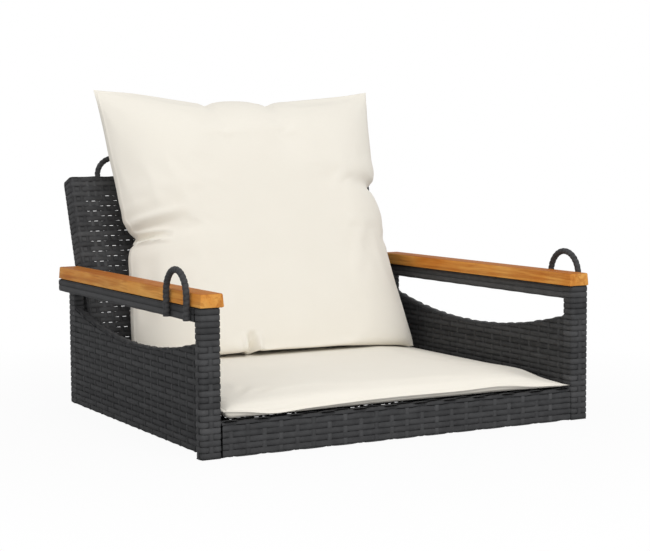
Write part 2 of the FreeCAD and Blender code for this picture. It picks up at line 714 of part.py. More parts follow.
def write_parts():
    """Check every object and write each piece to its file."""
    doc.recompute()
    for obj in doc.Objects:
        if {"Invalid", "Error"} & set(obj.State):
            raise RuntimeError(f"{obj.Label}: {obj.State}")
    for obj in nodes:
        if obj.Shape.isNull() or not obj.Shape.isValid() or not obj.Shape.Solids:
            raise RuntimeError(f"{obj.Label} has no sound solid")
    os.makedirs("parts", exist_ok=True)
    for obj in nodes:
        obj.Shape.exportStep(f"parts/{obj.Label}.step")
    whole = Part.makeCompound([obj.Shape for obj in nodes]).optimalBoundingBox()
    print(len(nodes), "pieces", whole)


fill_sizes()
bolt_kits = {side: bolt_sets(side) for side in ("left", "right")}
screw_kits = {side: screw_set(side) for side in ("left", "right")}
foot_kit = foot_bolts()
group("foot_caps", [side_frame(side, bolt_kits[side], screw_kits[side]) for side in ("left", "right")])
seat_frame(bolt_kits, foot_kit)
back_frame(bolt_kits, foot_kit)
fastener_nodes(bolt_kits, screw_kits, foot_kit)
seat_cushion()
back_cushion()
write_parts()
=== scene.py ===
import json
import logging
import math
from contextlib import contextmanager
from dataclasses import dataclass, replace
from enum import Enum
from typing import Any, Callable, Iterator, Protocol, Sequence

import bpy
import numpy as np
from mathutils import Matrix, Vector
from mathutils.bvhtree import BVHTree
from mathutils.kdtree import KDTree


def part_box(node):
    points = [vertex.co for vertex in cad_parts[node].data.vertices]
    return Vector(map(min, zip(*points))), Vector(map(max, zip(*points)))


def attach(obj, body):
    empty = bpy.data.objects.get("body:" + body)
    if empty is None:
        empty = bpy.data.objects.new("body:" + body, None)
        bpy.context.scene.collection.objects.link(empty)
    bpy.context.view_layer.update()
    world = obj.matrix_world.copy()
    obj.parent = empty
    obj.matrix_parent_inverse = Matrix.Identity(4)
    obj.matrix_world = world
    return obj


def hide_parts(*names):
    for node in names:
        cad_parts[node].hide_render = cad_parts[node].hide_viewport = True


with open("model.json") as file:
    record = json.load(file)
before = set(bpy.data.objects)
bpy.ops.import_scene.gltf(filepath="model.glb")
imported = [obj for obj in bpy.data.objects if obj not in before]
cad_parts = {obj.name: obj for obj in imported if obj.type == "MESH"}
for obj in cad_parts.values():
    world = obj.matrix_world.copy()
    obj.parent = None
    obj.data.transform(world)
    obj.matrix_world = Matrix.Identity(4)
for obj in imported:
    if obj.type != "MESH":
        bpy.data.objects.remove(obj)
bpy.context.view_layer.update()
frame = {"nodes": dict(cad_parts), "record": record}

LOG = logging.getLogger("bench")
X_AXIS, Y_AXIS, Z_AXIS = Vector((1, 0, 0)), Vector((0, 1, 0)), Vector((0, 0, 1))
WHITE = (1.0, 1.0, 1.0, 1.0)
TINY = 1e-9
SHARP, WOVEN, ROUND, SOFT = 30.0, 50.0, 60.0, 70.0  # smoothing angles in degrees
Colour = tuple[float, float, float, float]
Triple = tuple[float, float, float]
Knots = tuple[tuple[float, float], ...]
Limit = Callable[[np.ndarray], np.ndarray] | None
Piece = bpy.types.Object
Finish = bpy.types.Material
Socket = bpy.types.NodeSocket


class Body(Enum):
    """The bodies that pieces ride on."""

    FRAME = "frame"
    SEAT_CUSHION = "seat_cushion"
    BACK_CUSHION = "back_cushion"


class Slot(Enum):
    """The record's material slots."""

    WEAVE = "weave"
    LOOP_WRAP = "loop_wrap"
    TUBE = "tube"
    ROD = "rod"
    WOOD = "wood"
    CAP = "cap"
    ZINC = "zinc"
    FABRIC = "fabric"


class Value:
    """A number socket; sums with it add Math nodes."""

    def __init__(self, board: "NodeBoard", socket: Socket) -> None:
        """Keep the socket and the board that it is on."""
        self.board = board
        self.socket = socket

    def _sum(self, operation: str, first: Any, second: Any = 0.0) -> "Value":
        """The result of a new Math node with two values or links."""
        node = self.board.node("ShaderNodeMath", {"operation": operation}, {0: first, 1: second})
        return Value(self.board, node.outputs[0])

    def __add__(self, other: Any) -> "Value":
        """Sum."""
        return self._sum("ADD", self, other)

    def __radd__(self, other: Any) -> "Value":
        """Sum, from the right."""
        return self._sum("ADD", other, self)

    def __sub__(self, other: Any) -> "Value":
        """Difference."""
        return self._sum("SUBTRACT", self, other)

    def __rsub__(self, other: Any) -> "Value":
        """Difference, from the right."""
        return self._sum("SUBTRACT", other, self)

    def __mul__(self, other: Any) -> "Value":
        """Product."""
        return self._sum("MULTIPLY", self, other)

    def __rmul__(self, other: Any) -> "Value":
        """Product, from the right."""
        return self._sum("MULTIPLY", other, self)

    def __pow__(self, other: Any) -> "Value":
        """Power."""
        return self._sum("POWER", self, other)

    def sine(self) -> "Value":
        """Sine of the value in radians."""
        return self._sum("SINE", self)

    def at_least(self, other: Any) -> "Value":
        """The larger of two values."""
        return self._sum("MAXIMUM", self, other)

    def at_most(self, other: Any) -> "Value":
        """The smaller of two values."""
        return self._sum("MINIMUM", self, other)

    def raised(self, contrast: float, start: float) -> "Value":
        """The value with a contrast, less what it starts at."""
        return self * contrast - start

    def clamped(self) -> "Value":
        """The value between 0 and 1."""
        return self.at_least(0.0).at_most(1.0)


class NodeBoard:
    """The node tree of a new material or world, with the shader and the output that it comes with."""

    def __init__(self, name: str, world: bool = False) -> None:
        """Make the material or world.

        Args:
            name: its name.
            world: whether it is a world.
        """
        self.owner = (bpy.data.worlds if world else bpy.data.materials).new(name)
        self.owner.use_nodes = True
        self.tree = self.owner.node_tree
        self.shader, self.output = sorted(self.tree.nodes, key=lambda node: node.type.startswith("OUTPUT"))

    def node(self, kind: str, settings: dict[str, Any] | None = None,
             sockets: dict[Any, Any] | None = None) -> bpy.types.Node:
        """Add a node.

        Args:
            kind: the node's type.
            settings: its settings, set first.
            sockets: values or links of its inputs.

        Returns:
            The node.
        """
        node = self.tree.nodes.new(kind)
        for name, setting in (settings or {}).items():
            setattr(node, name, setting)
        for name, value in (sockets or {}).items():
            self.feed(node.inputs[name], value)
        return node

    def feed(self, socket: Socket, value: Any) -> None:
        """Link or set one input socket.

        Args:
            socket: the input.
            value: a number, a colour, a socket or a Value.
        """
        source = value.socket if isinstance(value, Value) else value
        if isinstance(source, Socket):
            self.tree.links.new(source, socket)
        else:
            socket.default_value = source

    def dress(self, sockets: dict[str, Any]) -> Finish | bpy.types.World:
        """Set or link the shader's sockets.

        Args:
            sockets: values or links of the shader's inputs.

        Returns:
            The material or world.
        """
        for name, value in sockets.items():
            self.feed(self.shader.inputs[name], value)
        return self.owner

    def seen(self) -> Value:
        """1 for rays that show the background, 0 for all others."""
        path = self.node("ShaderNodeLightPath").outputs
        return Value(self, path["Is Camera Ray"]).at_least(path["Is Transmission Ray"])

    def mix(self, share: Value, other: bpy.types.Node) -> None:
        """Mix another shader into the output, by a share from 0 to 1."""
        shaders = {0: share, 1: self.shader.outputs[0], 2: other.outputs[0]}
        self.feed(self.output.inputs["Surface"], self.node("ShaderNodeMixShader", {}, shaders).outputs[0])

    def places(self, scale: Sequence[float] = (1.0, 1.0, 1.0)) -> Socket:
        """Object coordinates, stretched by a Mapping node."""
        coords = self.node("ShaderNodeTexCoord").outputs["Object"]
        return self.node("ShaderNodeMapping", {}, {"Vector": coords, "Scale": scale}).outputs["Vector"]

    def noise(self, places: Socket, scale: float, detail: float = 3.0, bend: float = 0.0) -> Value:
        """Noise between 0 and 1.

        Args:
            places: the coordinates it reads.
            scale: cells per metre of those coordinates.
            detail: octaves.
            bend: distortion.

        Returns:
            The noise value.
        """
        node = self.node("ShaderNodeTexNoise", {},
                         {"Vector": places, "Scale": scale, "Detail": detail, "Distortion": bend})
        return Value(self, node.outputs["Fac"])

    def parts(self, vector: Socket) -> tuple[Value, Value, Value]:
        """The three numbers of a vector."""
        node = self.node("ShaderNodeSeparateXYZ", {}, {"Vector": vector})
        return tuple(Value(self, node.outputs[i]) for i in range(3))

    def blend(self, factor: Any, first: Any, second: Any) -> Socket:
        """A colour between two colours, by a factor from 0 to 1."""
        node = self.node("ShaderNodeMix", {"data_type": "RGBA"}, {0: factor, 6: first, 7: second})
        return node.outputs[2]  # 6, 7 and 2 are the node's colour sockets

    def bump(self, height: Value, distance: float, strength: float = 1.0) -> Socket:
        """A normal raised by a height from 0 to 1 over a distance in metres."""
        node = self.node("ShaderNodeBump", {}, {"Height": height, "Distance": distance, "Strength": strength})
        return node.outputs["Normal"]


@dataclass(frozen=True)
class StrandFinish:
    """Matt resin strand: lengthwise extrusion ribs, a tone of its own per strand, slight clouding, and
    painted shade that darkens each strand towards its edges.
    """

    name: str = "charcoal_resin_strand"
    dark: Colour = (0.0215, 0.0217, 0.0230, 1.0)
    light: Colour = (0.0990, 0.0993, 0.1020, 1.0)
    roughness: float = 0.50
    rib_count: float = 5.0
    rib_height: float = 0.00012
    cloud_scale: float = 90.0
    grit_scale: float = 900.0
    tone_share: float = 0.38
    cloud_share: float = 0.52
    # how much painted shade darkens each strand towards its edges
    edge_painted_shade: float = 0.20
    least: float = 0.05
    cloud_swing: float = 0.16
    edge_swing: float = 0.06
    rib_share: float = 0.6
    bump_strength: float = 0.6
    gloss: float = 0.08

    def material(self) -> Finish:
        """Make the material, which reads the pieces' own strand attribute.

        Returns:
            The material.
        """
        board = NodeBoard(self.name)
        strand = board.node("ShaderNodeAttribute", {"attribute_name": "strand"}).outputs["Vector"]
        _, across, tone = board.parts(strand)
        cloud = board.noise(board.places(), self.cloud_scale)
        grit = board.noise(board.places(), self.grit_scale, 2.0)
        ribs = (across * (2.0 * math.pi * self.rib_count)).sine() * 0.5 + 0.5
        edge = (across * 2.0) ** 2.0
        # painted shade: each strand is darker towards its edges, where rows meet; the tone read here also
        # carries the painted shade or painted light given per piece
        share = tone * self.tone_share + cloud * self.cloud_share - edge * self.edge_painted_shade + self.least
        swing = cloud * self.cloud_swing - self.cloud_swing / 2
        relief = ribs * self.rib_share + grit * (1.0 - self.rib_share)
        return board.dress({
            "Base Color": board.blend(share, self.dark, self.light),
            "Roughness": self.roughness + swing + edge * self.edge_swing,
            "Normal": board.bump(relief, self.rib_height, self.bump_strength),
            "Specular IOR Level": self.gloss,
        })


@dataclass(frozen=True)
class CoatFinish:
    """Powder coat: fine orange peel over a dark colour, a little dust."""

    name: str
    colour: Colour
    dust: Colour
    roughness: float
    peel: float = 0.00006
    peel_scale: float = 1400.0
    dust_scale: float = 35.0
    dust_swing: float = 0.2
    gloss: float = 0.2

    def material(self) -> Finish:
        """Make the material.

        Returns:
            The material.
        """
        board = NodeBoard(self.name)
        peel = board.noise(board.places(), self.peel_scale, 2.0)
        dust = board.noise(board.places(), self.dust_scale, 5.0)
        return board.dress({
            "Base Color": board.blend(dust * 0.5, self.colour, self.dust),
            "Roughness": self.roughness + (dust * self.dust_swing - self.dust_swing / 2),
            "Normal": board.bump(peel, self.peel),
            "Specular IOR Level": self.gloss,
        })


@dataclass(frozen=True)
class ZincFinish:
    """Bright zinc plate with faint cloudy wear."""

    name: str = "zinc_plate"
    bright: Colour = (0.60, 0.61, 0.62, 1.0)
    dull: Colour = (0.40, 0.41, 0.42, 1.0)
    roughness: float = 0.28
    wear_scale: float = 260.0
    wear_swing: float = 0.25

    def material(self) -> Finish:
        """Make the material.

        Returns:
            The material.
        """
        board = NodeBoard(self.name)
        wear = board.noise(board.places(), self.wear_scale, 4.0)
        return board.dress({
            "Base Color": board.blend(wear, self.bright, self.dull),
            "Metallic": 1.0,
            "Roughness": self.roughness + wear * self.wear_swing,
        })


@dataclass(frozen=True)
class WoodFinish:
    """Oiled acacia: long grain, darker streaks, patches of tone, fine pores and a darker upper face."""

    name: str = "oiled_acacia"
    pale: Colour = (0.745, 0.388, 0.098, 1.0)
    amber: Colour = (0.630, 0.222, 0.032, 1.0)
    brown: Colour = (0.35, 0.084, 0.011, 1.0)
    upper_face: Colour = (0.36, 0.112, 0.018, 1.0)
    upper_from: float = 0.2108
    upper_fade: float = 0.0010
    upper_share: float = 0.75
    grain_stretch: Triple = (1.0, 0.045, 1.0)
    patch_stretch: Triple = (1.0, 0.35, 1.0)
    pore_stretch: Triple = (1.0, 0.08, 1.0)
    fibre_scale: float = 420.0
    streak_scale: float = 95.0
    patch_scale: float = 31.0
    pore_scale: float = 1500.0
    ring_turns: float = 26.0
    ring_drift: float = 9.0
    pale_from: tuple[float, float] = (2.4, 0.7)
    streak_from: tuple[float, float] = (2.2, 0.95)
    fibre_from: tuple[float, float] = (1.1, 0.55)
    ring_share: float = 0.2
    line_share: float = 0.8
    fibre_height: float = 0.00022
    fibre_share: float = 0.6
    roughness: float = 0.42
    fibre_swing: float = 0.2
    gloss: float = 0.05
    oil: float = 0.02
    oil_roughness: float = 0.4

    def material(self) -> Finish:
        """Make the material, with its grain along Y.

        Returns:
            The material.
        """
        board = NodeBoard(self.name)
        grain_places = board.places(self.grain_stretch)
        fibre = board.noise(grain_places, self.fibre_scale, 6.0, 0.4)
        streak = board.noise(grain_places, self.streak_scale, 4.0, 1.2)
        patch = board.noise(board.places(self.patch_stretch), self.patch_scale, 2.0)
        pores = board.noise(board.places(self.pore_stretch), self.pore_scale, 2.0)
        rings = (streak * self.ring_turns + patch * self.ring_drift).sine() * 0.5 + 0.5
        height = board.parts(board.places())[2]
        upper = ((height - self.upper_from) * (1.0 / self.upper_fade)).clamped()
        ground = board.blend(patch.raised(*self.pale_from), self.amber, self.pale)
        ground = board.blend(upper * self.upper_share, ground, self.upper_face)
        lines = streak.raised(*self.streak_from) + rings * self.ring_share + fibre.raised(*self.fibre_from)
        relief = fibre * self.fibre_share + pores * (1.0 - self.fibre_share)
        return board.dress({
            "Base Color": board.blend(lines.clamped() * self.line_share, ground, self.brown),
            "Roughness": self.roughness + fibre * self.fibre_swing,
            "Normal": board.bump(relief, self.fibre_height, 0.5),
            "Specular IOR Level": self.gloss,
            "Coat Weight": self.oil,
            "Coat Roughness": self.oil_roughness,
        })


@dataclass(frozen=True)
class ClothFinish:
    """Plain woven cream cloth, matt, with threads in three directions and faint clouding."""

    name: str = "cream_cloth"
    light: Colour = (0.870, 0.835, 0.755, 1.0)
    shade: Colour = (0.810, 0.768, 0.680, 1.0)
    thread: float = 0.0011
    thread_height: float = 0.00016
    cloud_scale: float = 14.0
    slub_scale: float = 160.0
    slub_stretch: Triple = (1.0, 1.0, 6.0)
    shade_shares: Triple = (0.5, 0.3, 0.2)
    thread_share: float = 0.8
    roughness: float = 0.86
    slub_swing: float = 0.1
    sheen: float = 0.12
    gloss: float = 0.2

    def material(self) -> Finish:
        """Make the material from Object coordinates.

        Returns:
            The material.
        """
        board = NodeBoard(self.name)
        turn = 2.0 * math.pi / self.thread
        across, deep, high = (part * turn for part in board.parts(board.places()))
        rows, depths, heights = across.sine(), deep.sine(), high.sine()
        weave = (rows * heights + rows * depths + depths * heights) * 0.25 + 0.5
        cloud = board.noise(board.places(), self.cloud_scale, 4.0)
        slub = board.noise(board.places(self.slub_stretch), self.slub_scale)
        clouds, slubs, weaves = self.shade_shares
        relief = weave * self.thread_share + slub * (1.0 - self.thread_share)
        return board.dress({
            "Base Color": board.blend(cloud * clouds + slub * slubs + weave * weaves, self.light, self.shade),
            "Roughness": self.roughness + slub * self.slub_swing,
            "Normal": board.bump(relief, self.thread_height, 0.5),
            "Sheen Weight": self.sheen,
            "Sheen Roughness": 0.5,
            "Specular IOR Level": self.gloss,
        })


def deselect() -> None:
    """Deselect everything."""
    bpy.ops.object.select_all(action="DESELECT")


def activate(piece: Piece) -> None:
    """Select one piece alone and make it the active one.

    Args:
        piece: the piece.
    """
    deselect()
    piece.select_set(True)
    bpy.context.view_layer.objects.active = piece


@contextmanager
def editing(piece: Piece) -> Iterator[None]:
    """Edit mode on one piece, with the selection that its mesh holds.

    Args:
        piece: the piece.

    Returns:
        The steps of the context: edit mode, then object mode.
    """
    activate(piece)
    bpy.ops.object.mode_set(mode="EDIT")
    yield
    bpy.ops.object.mode_set(mode="OBJECT")


def select(piece: Piece, mode: str, test: Callable[[Any], bool]) -> None:
    """Select a mesh's edges or faces by a test.

    Args:
        piece: the piece whose mesh is searched.
        mode: EDGE or FACE.
        test: says of an edge or a face whether it is selected.
    """
    with editing(piece):
        bpy.ops.mesh.select_mode(type=mode)
        bpy.ops.mesh.select_all(action="DESELECT")
    for part in piece.data.edges if mode == "EDGE" else piece.data.polygons:
        part.select = test(part)


def points_of(piece: Piece) -> np.ndarray:
    """Read a mesh's points.

    Args:
        piece: the piece whose mesh it is.

    Returns:
        A row of three numbers for each point.
    """
    flat = np.empty(len(piece.data.vertices) * 3)
    piece.data.vertices.foreach_get("co", flat)
    return flat.reshape(-1, 3)


def move_points(piece: Piece, points: np.ndarray) -> None:
    """Put a mesh's points at new places."""
    piece.data.vertices.foreach_set("co", np.ascontiguousarray(points).ravel())
    piece.data.update()


def apply_modifier(piece: Piece, name: str) -> None:
    """Apply one modifier of a piece."""
    activate(piece)
    bpy.ops.object.modifier_apply(modifier=name)


def close_and_smooth(piece: Piece, angle: float = WOVEN) -> Piece:
    """Turn all faces outwards and shade them smooth.

    Args:
        piece: the piece.
        angle: the angle in degrees below which two faces are smooth.

    Returns:
        The piece.
    """
    with editing(piece):
        bpy.ops.mesh.select_all(action="SELECT")
        bpy.ops.mesh.normals_make_consistent(inside=False)
    activate(piece)
    bpy.ops.object.shade_smooth_by_angle(angle=math.radians(angle))
    return piece


def named(piece: Piece, name: str) -> Piece:
    """Give a piece and its mesh a name."""
    piece.name = piece.data.name = name
    return piece


def joined(name: str, pieces: Sequence[Piece]) -> Piece:
    """Join pieces into the first one.

    Args:
        name: the joined piece's name.
        pieces: what is joined.

    Returns:
        The first piece, with the others in it.
    """
    activate(pieces[0])
    for piece in pieces[1:]:
        piece.select_set(True)
    if len(pieces) > 1:
        bpy.ops.object.join()
    return named(pieces[0], name)


def finished(name: str, pieces: Sequence[Piece], angle: float = WOVEN) -> Piece:
    """Join pieces under a name, with their faces outwards and smooth below an angle."""
    return close_and_smooth(joined(name, pieces), angle)


def block(low: Vector, high: Vector) -> Piece:
    """Add a block.

    Args:
        low: its lowest corner.
        high: its highest corner.

    Returns:
        The piece, with its place and size applied.
    """
    deselect()
    bpy.ops.mesh.primitive_cube_add(size=1.0, location=(low + high) / 2)
    piece = bpy.context.object
    piece.scale = high - low
    bpy.ops.object.transform_apply(location=True, rotation=True, scale=True)
    return piece


def chamfer(piece: Piece, width: float, profile: float = 0.5) -> None:
    """Chamfer all edges of a piece.

    Args:
        piece: the piece.
        width: the chamfer's width.
        profile: its roundness.
    """
    with editing(piece):
        bpy.ops.mesh.select_all(action="SELECT")
        bpy.ops.mesh.bevel(offset=width, segments=2, profile=profile, affect="EDGES")


def mirrored(piece: Piece, name: str) -> Piece:
    """Copy a piece to the other side of the bench.

    Args:
        piece: the piece that is copied with its own mesh.
        name: the copy's name.

    Returns:
        The copy, with its faces outwards.
    """
    activate(piece)
    bpy.ops.object.duplicate(linked=False)
    copy = named(bpy.context.object, name)
    copy.scale = (-1.0, 1.0, 1.0)
    bpy.ops.object.transform_apply(location=True, rotation=True, scale=True)
    return close_and_smooth(copy)


@dataclass(frozen=True)
class Job:
    """A piece to make: its name, its solid, where its tones are taken from, its slot and its body."""

    name: str
    node: str
    seed: int = 0
    slot: Slot = Slot.WEAVE
    body: Body = Body.FRAME

    def on_right(self) -> "Job":
        """The same piece on the right-hand side."""
        return replace(self, name=self.name.replace("left", "right"), node=self.node.replace("left", "right"))

    def adopt(self, piece: Piece, finish: Finish) -> Piece:
        """Hand the finished piece to the frame.

        Args:
            piece: the piece.
            finish: its material.

        Returns:
            The piece.
        """
        piece.data.materials.clear()
        piece.data.materials.append(finish)
        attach(piece, self.body.value)
        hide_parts(self.node)
        return piece


def ease(share: np.ndarray) -> np.ndarray:
    """A smooth step from 0 to 1."""
    share = np.clip(share, 0.0, 1.0)
    return share * share * (3.0 - 2.0 * share)


def bulge(share: np.ndarray, flat: float, full: float) -> np.ndarray:
    """A swell that is 1 in the middle and 0 at -1 and 1, flatter and fuller by its two powers."""
    return (1.0 - np.abs(share) ** flat) ** full


def curve_through(knots: Sequence[tuple[float, float]], at: np.ndarray) -> np.ndarray:
    """A smooth line through knots.

    Args:
        knots: places and heights, in rising order of place.
        at: the places that are asked for.

    Returns:
        The heights there.
    """
    xs, ys = np.array(knots, float).T
    slopes = np.gradient(ys, xs)
    left = np.clip(np.searchsorted(xs, at) - 1, 0, len(xs) - 2)
    span = xs[left + 1] - xs[left]
    q = np.clip((at - xs[left]) / span, 0.0, 1.0)
    rise = q * q * (3.0 - 2.0 * q)
    lead = q * (1.0 - q) ** 2 * slopes[left] - q * q * (1.0 - q) * slopes[left + 1]
    return ys[left] + (ys[left + 1] - ys[left]) * rise + span * lead


class Surface(Protocol):
    """Something that flat strands are laid on."""

    def place(self, flat: np.ndarray) -> np.ndarray:
        """Lay points given as run, cross and height on the surface."""


@dataclass
class FlatSheet:
    """A flat face."""

    origin: Vector
    along: Vector
    across: Vector
    outward: Vector

    def place(self, flat: np.ndarray) -> np.ndarray:
        """Lay points given as run, cross and height on the face."""
        return np.array(self.origin) + flat @ np.array([self.along, self.across, self.outward])


class Outline:
    """A path with rounded left-hand corners in a plane; its outer side is on the right of its run."""

    ARC_STEPS = 5

    def __init__(self, corners: Sequence[tuple[float, float]], radii: float | Sequence[float],
                 closed: bool) -> None:
        """Work out the path's points, outward directions and running length.

        Args:
            corners: the corners in order; an open path starts and ends at the first and last.
            radii: the rounding of all its corners, or of each corner that it turns at.
            closed: whether it comes back to its start, then halfway between the last and first corner.
        """
        knots = [np.array(corner, float) for corner in corners]
        if closed:
            start = (knots[-1] + knots[0]) / 2.0
            knots = [start, *knots, start]
        turns = [radii] * (len(knots) - 2) if isinstance(radii, float) else radii
        points, normals = [knots[0]], [self._right(knots[1] - knots[0])]
        for before, corner, after, radius in zip(knots, knots[1:], knots[2:], turns):
            first, second = self._right(corner - before), self._right(after - corner)
            centre = corner - (first + second) * radius
            for share in np.linspace(0.0, 1.0, self.ARC_STEPS):
                normal = first * math.cos(share * math.pi / 2) + second * math.sin(share * math.pi / 2)
                points.append(centre + normal * radius)
                normals.append(normal)
        points.append(knots[-1])
        normals.append(self._right(knots[-1] - knots[-2]))
        self.points, self.normals = np.array(points), np.array(normals)
        steps = np.linalg.norm(np.diff(self.points, axis=0), axis=1)
        self.runs = np.concatenate([[0.0], np.cumsum(steps)])
        self.length = float(self.runs[-1])

    @staticmethod
    def _right(direction: np.ndarray) -> np.ndarray:
        """The unit direction to the right of a run."""
        return np.array([direction[1], -direction[0]]) / np.linalg.norm(direction)

    def at(self, run: np.ndarray, height: np.ndarray) -> np.ndarray:
        """Points at a run along the path and a height over it.

        Args:
            run: lengths along the path.
            height: heights over it, outwards.

        Returns:
            The points in the path's plane.
        """
        columns = [np.interp(run, self.runs, column) for column in (*self.points.T, *self.normals.T)]
        size = np.hypot(columns[2], columns[3])
        return np.stack([columns[0] + height * columns[2] / size, columns[1] + height * columns[3] / size], 1)


@dataclass
class Prism:
    """An outline carried along an axis; strands run round it or along it."""

    outline: Outline
    axes: tuple[int, int, int]
    around: bool
    start: float = 0.0

    def place(self, flat: np.ndarray) -> np.ndarray:
        """Lay flat points on the prism.

        Args:
            flat: points given as run, cross and height.

        Returns:
            Their places.
        """
        run, carried = (flat[:, 0], flat[:, 1]) if self.around else (flat[:, 1], flat[:, 0])
        placed = np.empty_like(flat)
        placed[:, self.axes[:2]] = self.outline.at(run, flat[:, 2])
        placed[:, self.axes[2]] = self.start + carried
        return placed


@dataclass
class HollowEdge:
    """A section carried along a sagging arc in the YZ plane; strands run along the arc."""

    section: Outline
    radius: float
    centre_y: float
    centre_z: float
    start_angle: float

    def place(self, flat: np.ndarray) -> np.ndarray:
        """Lay flat points on the edge.

        Args:
            flat: points given as run along the arc, cross round the section and height.

        Returns:
            Their places.
        """
        section = self.section.at(flat[:, 1], flat[:, 2])
        angle = self.start_angle + flat[:, 0] / self.radius
        reach = self.radius - section[:, 1]
        return np.stack([section[:, 0], self.centre_y + reach * np.sin(angle),
                         self.centre_z - reach * np.cos(angle)], 1)


@dataclass(frozen=True)
class Strand:
    """One flat extruded strand."""

    width: float
    thickness: float
    sides: int = 6
    squareness: float = 0.45


class StrandBed:
    """Parallel strands drawn flat: along X, side by side in Y, rounded in Z."""

    TONES = np.random.default_rng(7).random(4096)

    def __init__(self, strand: Strand, length: float, step: float, rows: int, pitch: float,
                 first: float) -> None:
        """Model one strand with its rings and repeat it side by side.

        Args:
            strand: the strand's section.
            length: its length.
            step: the distance of its rings.
            rows: how many strands.
            pitch: their distance.
            first: the first strand's middle.
        """
        deselect()
        bpy.ops.mesh.primitive_cylinder_add(vertices=strand.sides, radius=0.5, depth=1.0,
                                            end_fill_type="NGON", rotation=(0.0, math.pi / 2, 0.0))
        self.piece = bpy.context.object
        bpy.ops.object.transform_apply(location=True, rotation=True, scale=True)
        ends = self.piece.data.vertices
        select(self.piece, "EDGE",
               lambda edge: abs(ends[edge.vertices[0]].co.x - ends[edge.vertices[1]].co.x) > 0.5)
        cuts = max(1, round(length / step) - 1)
        with editing(self.piece):
            bpy.ops.mesh.subdivide(number_cuts=cuts)
        points = points_of(self.piece)
        section = np.sign(points[:, 1:]) * np.abs(2.0 * points[:, 1:]) ** strand.squareness
        self.across = np.tile(section[:, 0] / 2.0, rows)
        points[:, 0] = (points[:, 0] + 0.5) * length
        points[:, 1] = section[:, 0] * strand.width / 2.0 + first
        points[:, 2] = section[:, 1] * strand.thickness / 2.0
        move_points(self.piece, points)
        if rows > 1:
            repeat = self.piece.modifiers.new("Rows", "ARRAY")
            repeat.use_relative_offset = False
            repeat.use_constant_offset = True
            repeat.constant_offset_displace = (0.0, pitch, 0.0)
            repeat.count = rows
            apply_modifier(self.piece, repeat.name)
        self.flat = points_of(self.piece)
        self.row = np.arange(len(self.flat)) // len(points)
        self.middle = first + pitch * self.row

    def lay(self, surface: Surface, seed: int, upright: bool = False, shade: float = 0.0) -> Piece:
        """Lay the woven strands on a surface and keep their own coordinates for the finish.

        Args:
            surface: what the strands are laid on.
            seed: where their tones are taken from.
            upright: whether they run across the surface's rows.
            shade: painted shade, how much darker than those they are; below 0 it is painted light, which
                makes them lighter.

        Returns:
            The piece.
        """
        # painted shade, or painted light below 0, shifts the random tones
        tones_with_painted_shade = self.TONES[(self.row + seed) % len(self.TONES)] * (1.0 - max(shade, 0.0)) - shade
        self.mark(self.flat[:, 0], self.across, tones_with_painted_shade)
        flat = self.flat[:, [1, 0, 2]] if upright else self.flat
        move_points(self.piece, surface.place(flat))
        return self.piece

    def mark(self, *own: np.ndarray) -> None:
        """Keep each point's run, place across its strand and tone, with any painted shade, on the mesh for
        the finish.
        """
        strand = self.piece.data.attributes.new("strand", "FLOAT_VECTOR", "POINT")
        strand.data.foreach_set("vector", np.stack(own, 1).ravel())

    def drop_clamped(self, clamped: np.ndarray) -> None:
        """Delete the faces that were cut off, and close the strands' new ends.

        Args:
            clamped: which points were cut off.
        """
        select(self.piece, "FACE", lambda face: all(clamped[i] for i in face.vertices))
        with editing(self.piece):
            bpy.ops.mesh.delete(type="FACE")
            bpy.ops.mesh.select_mode(type="EDGE")
            bpy.ops.mesh.select_all(action="DESELECT")
            bpy.ops.mesh.select_non_manifold()
            bpy.ops.mesh.fill_holes(sides=0)


@dataclass(frozen=True)
class Patch:
    """What is woven over: a surface, the rows' length, the lowest and highest edge, a curved upper edge."""

    surface: Surface
    length: float
    span: tuple[float, float]
    limit: Limit = None


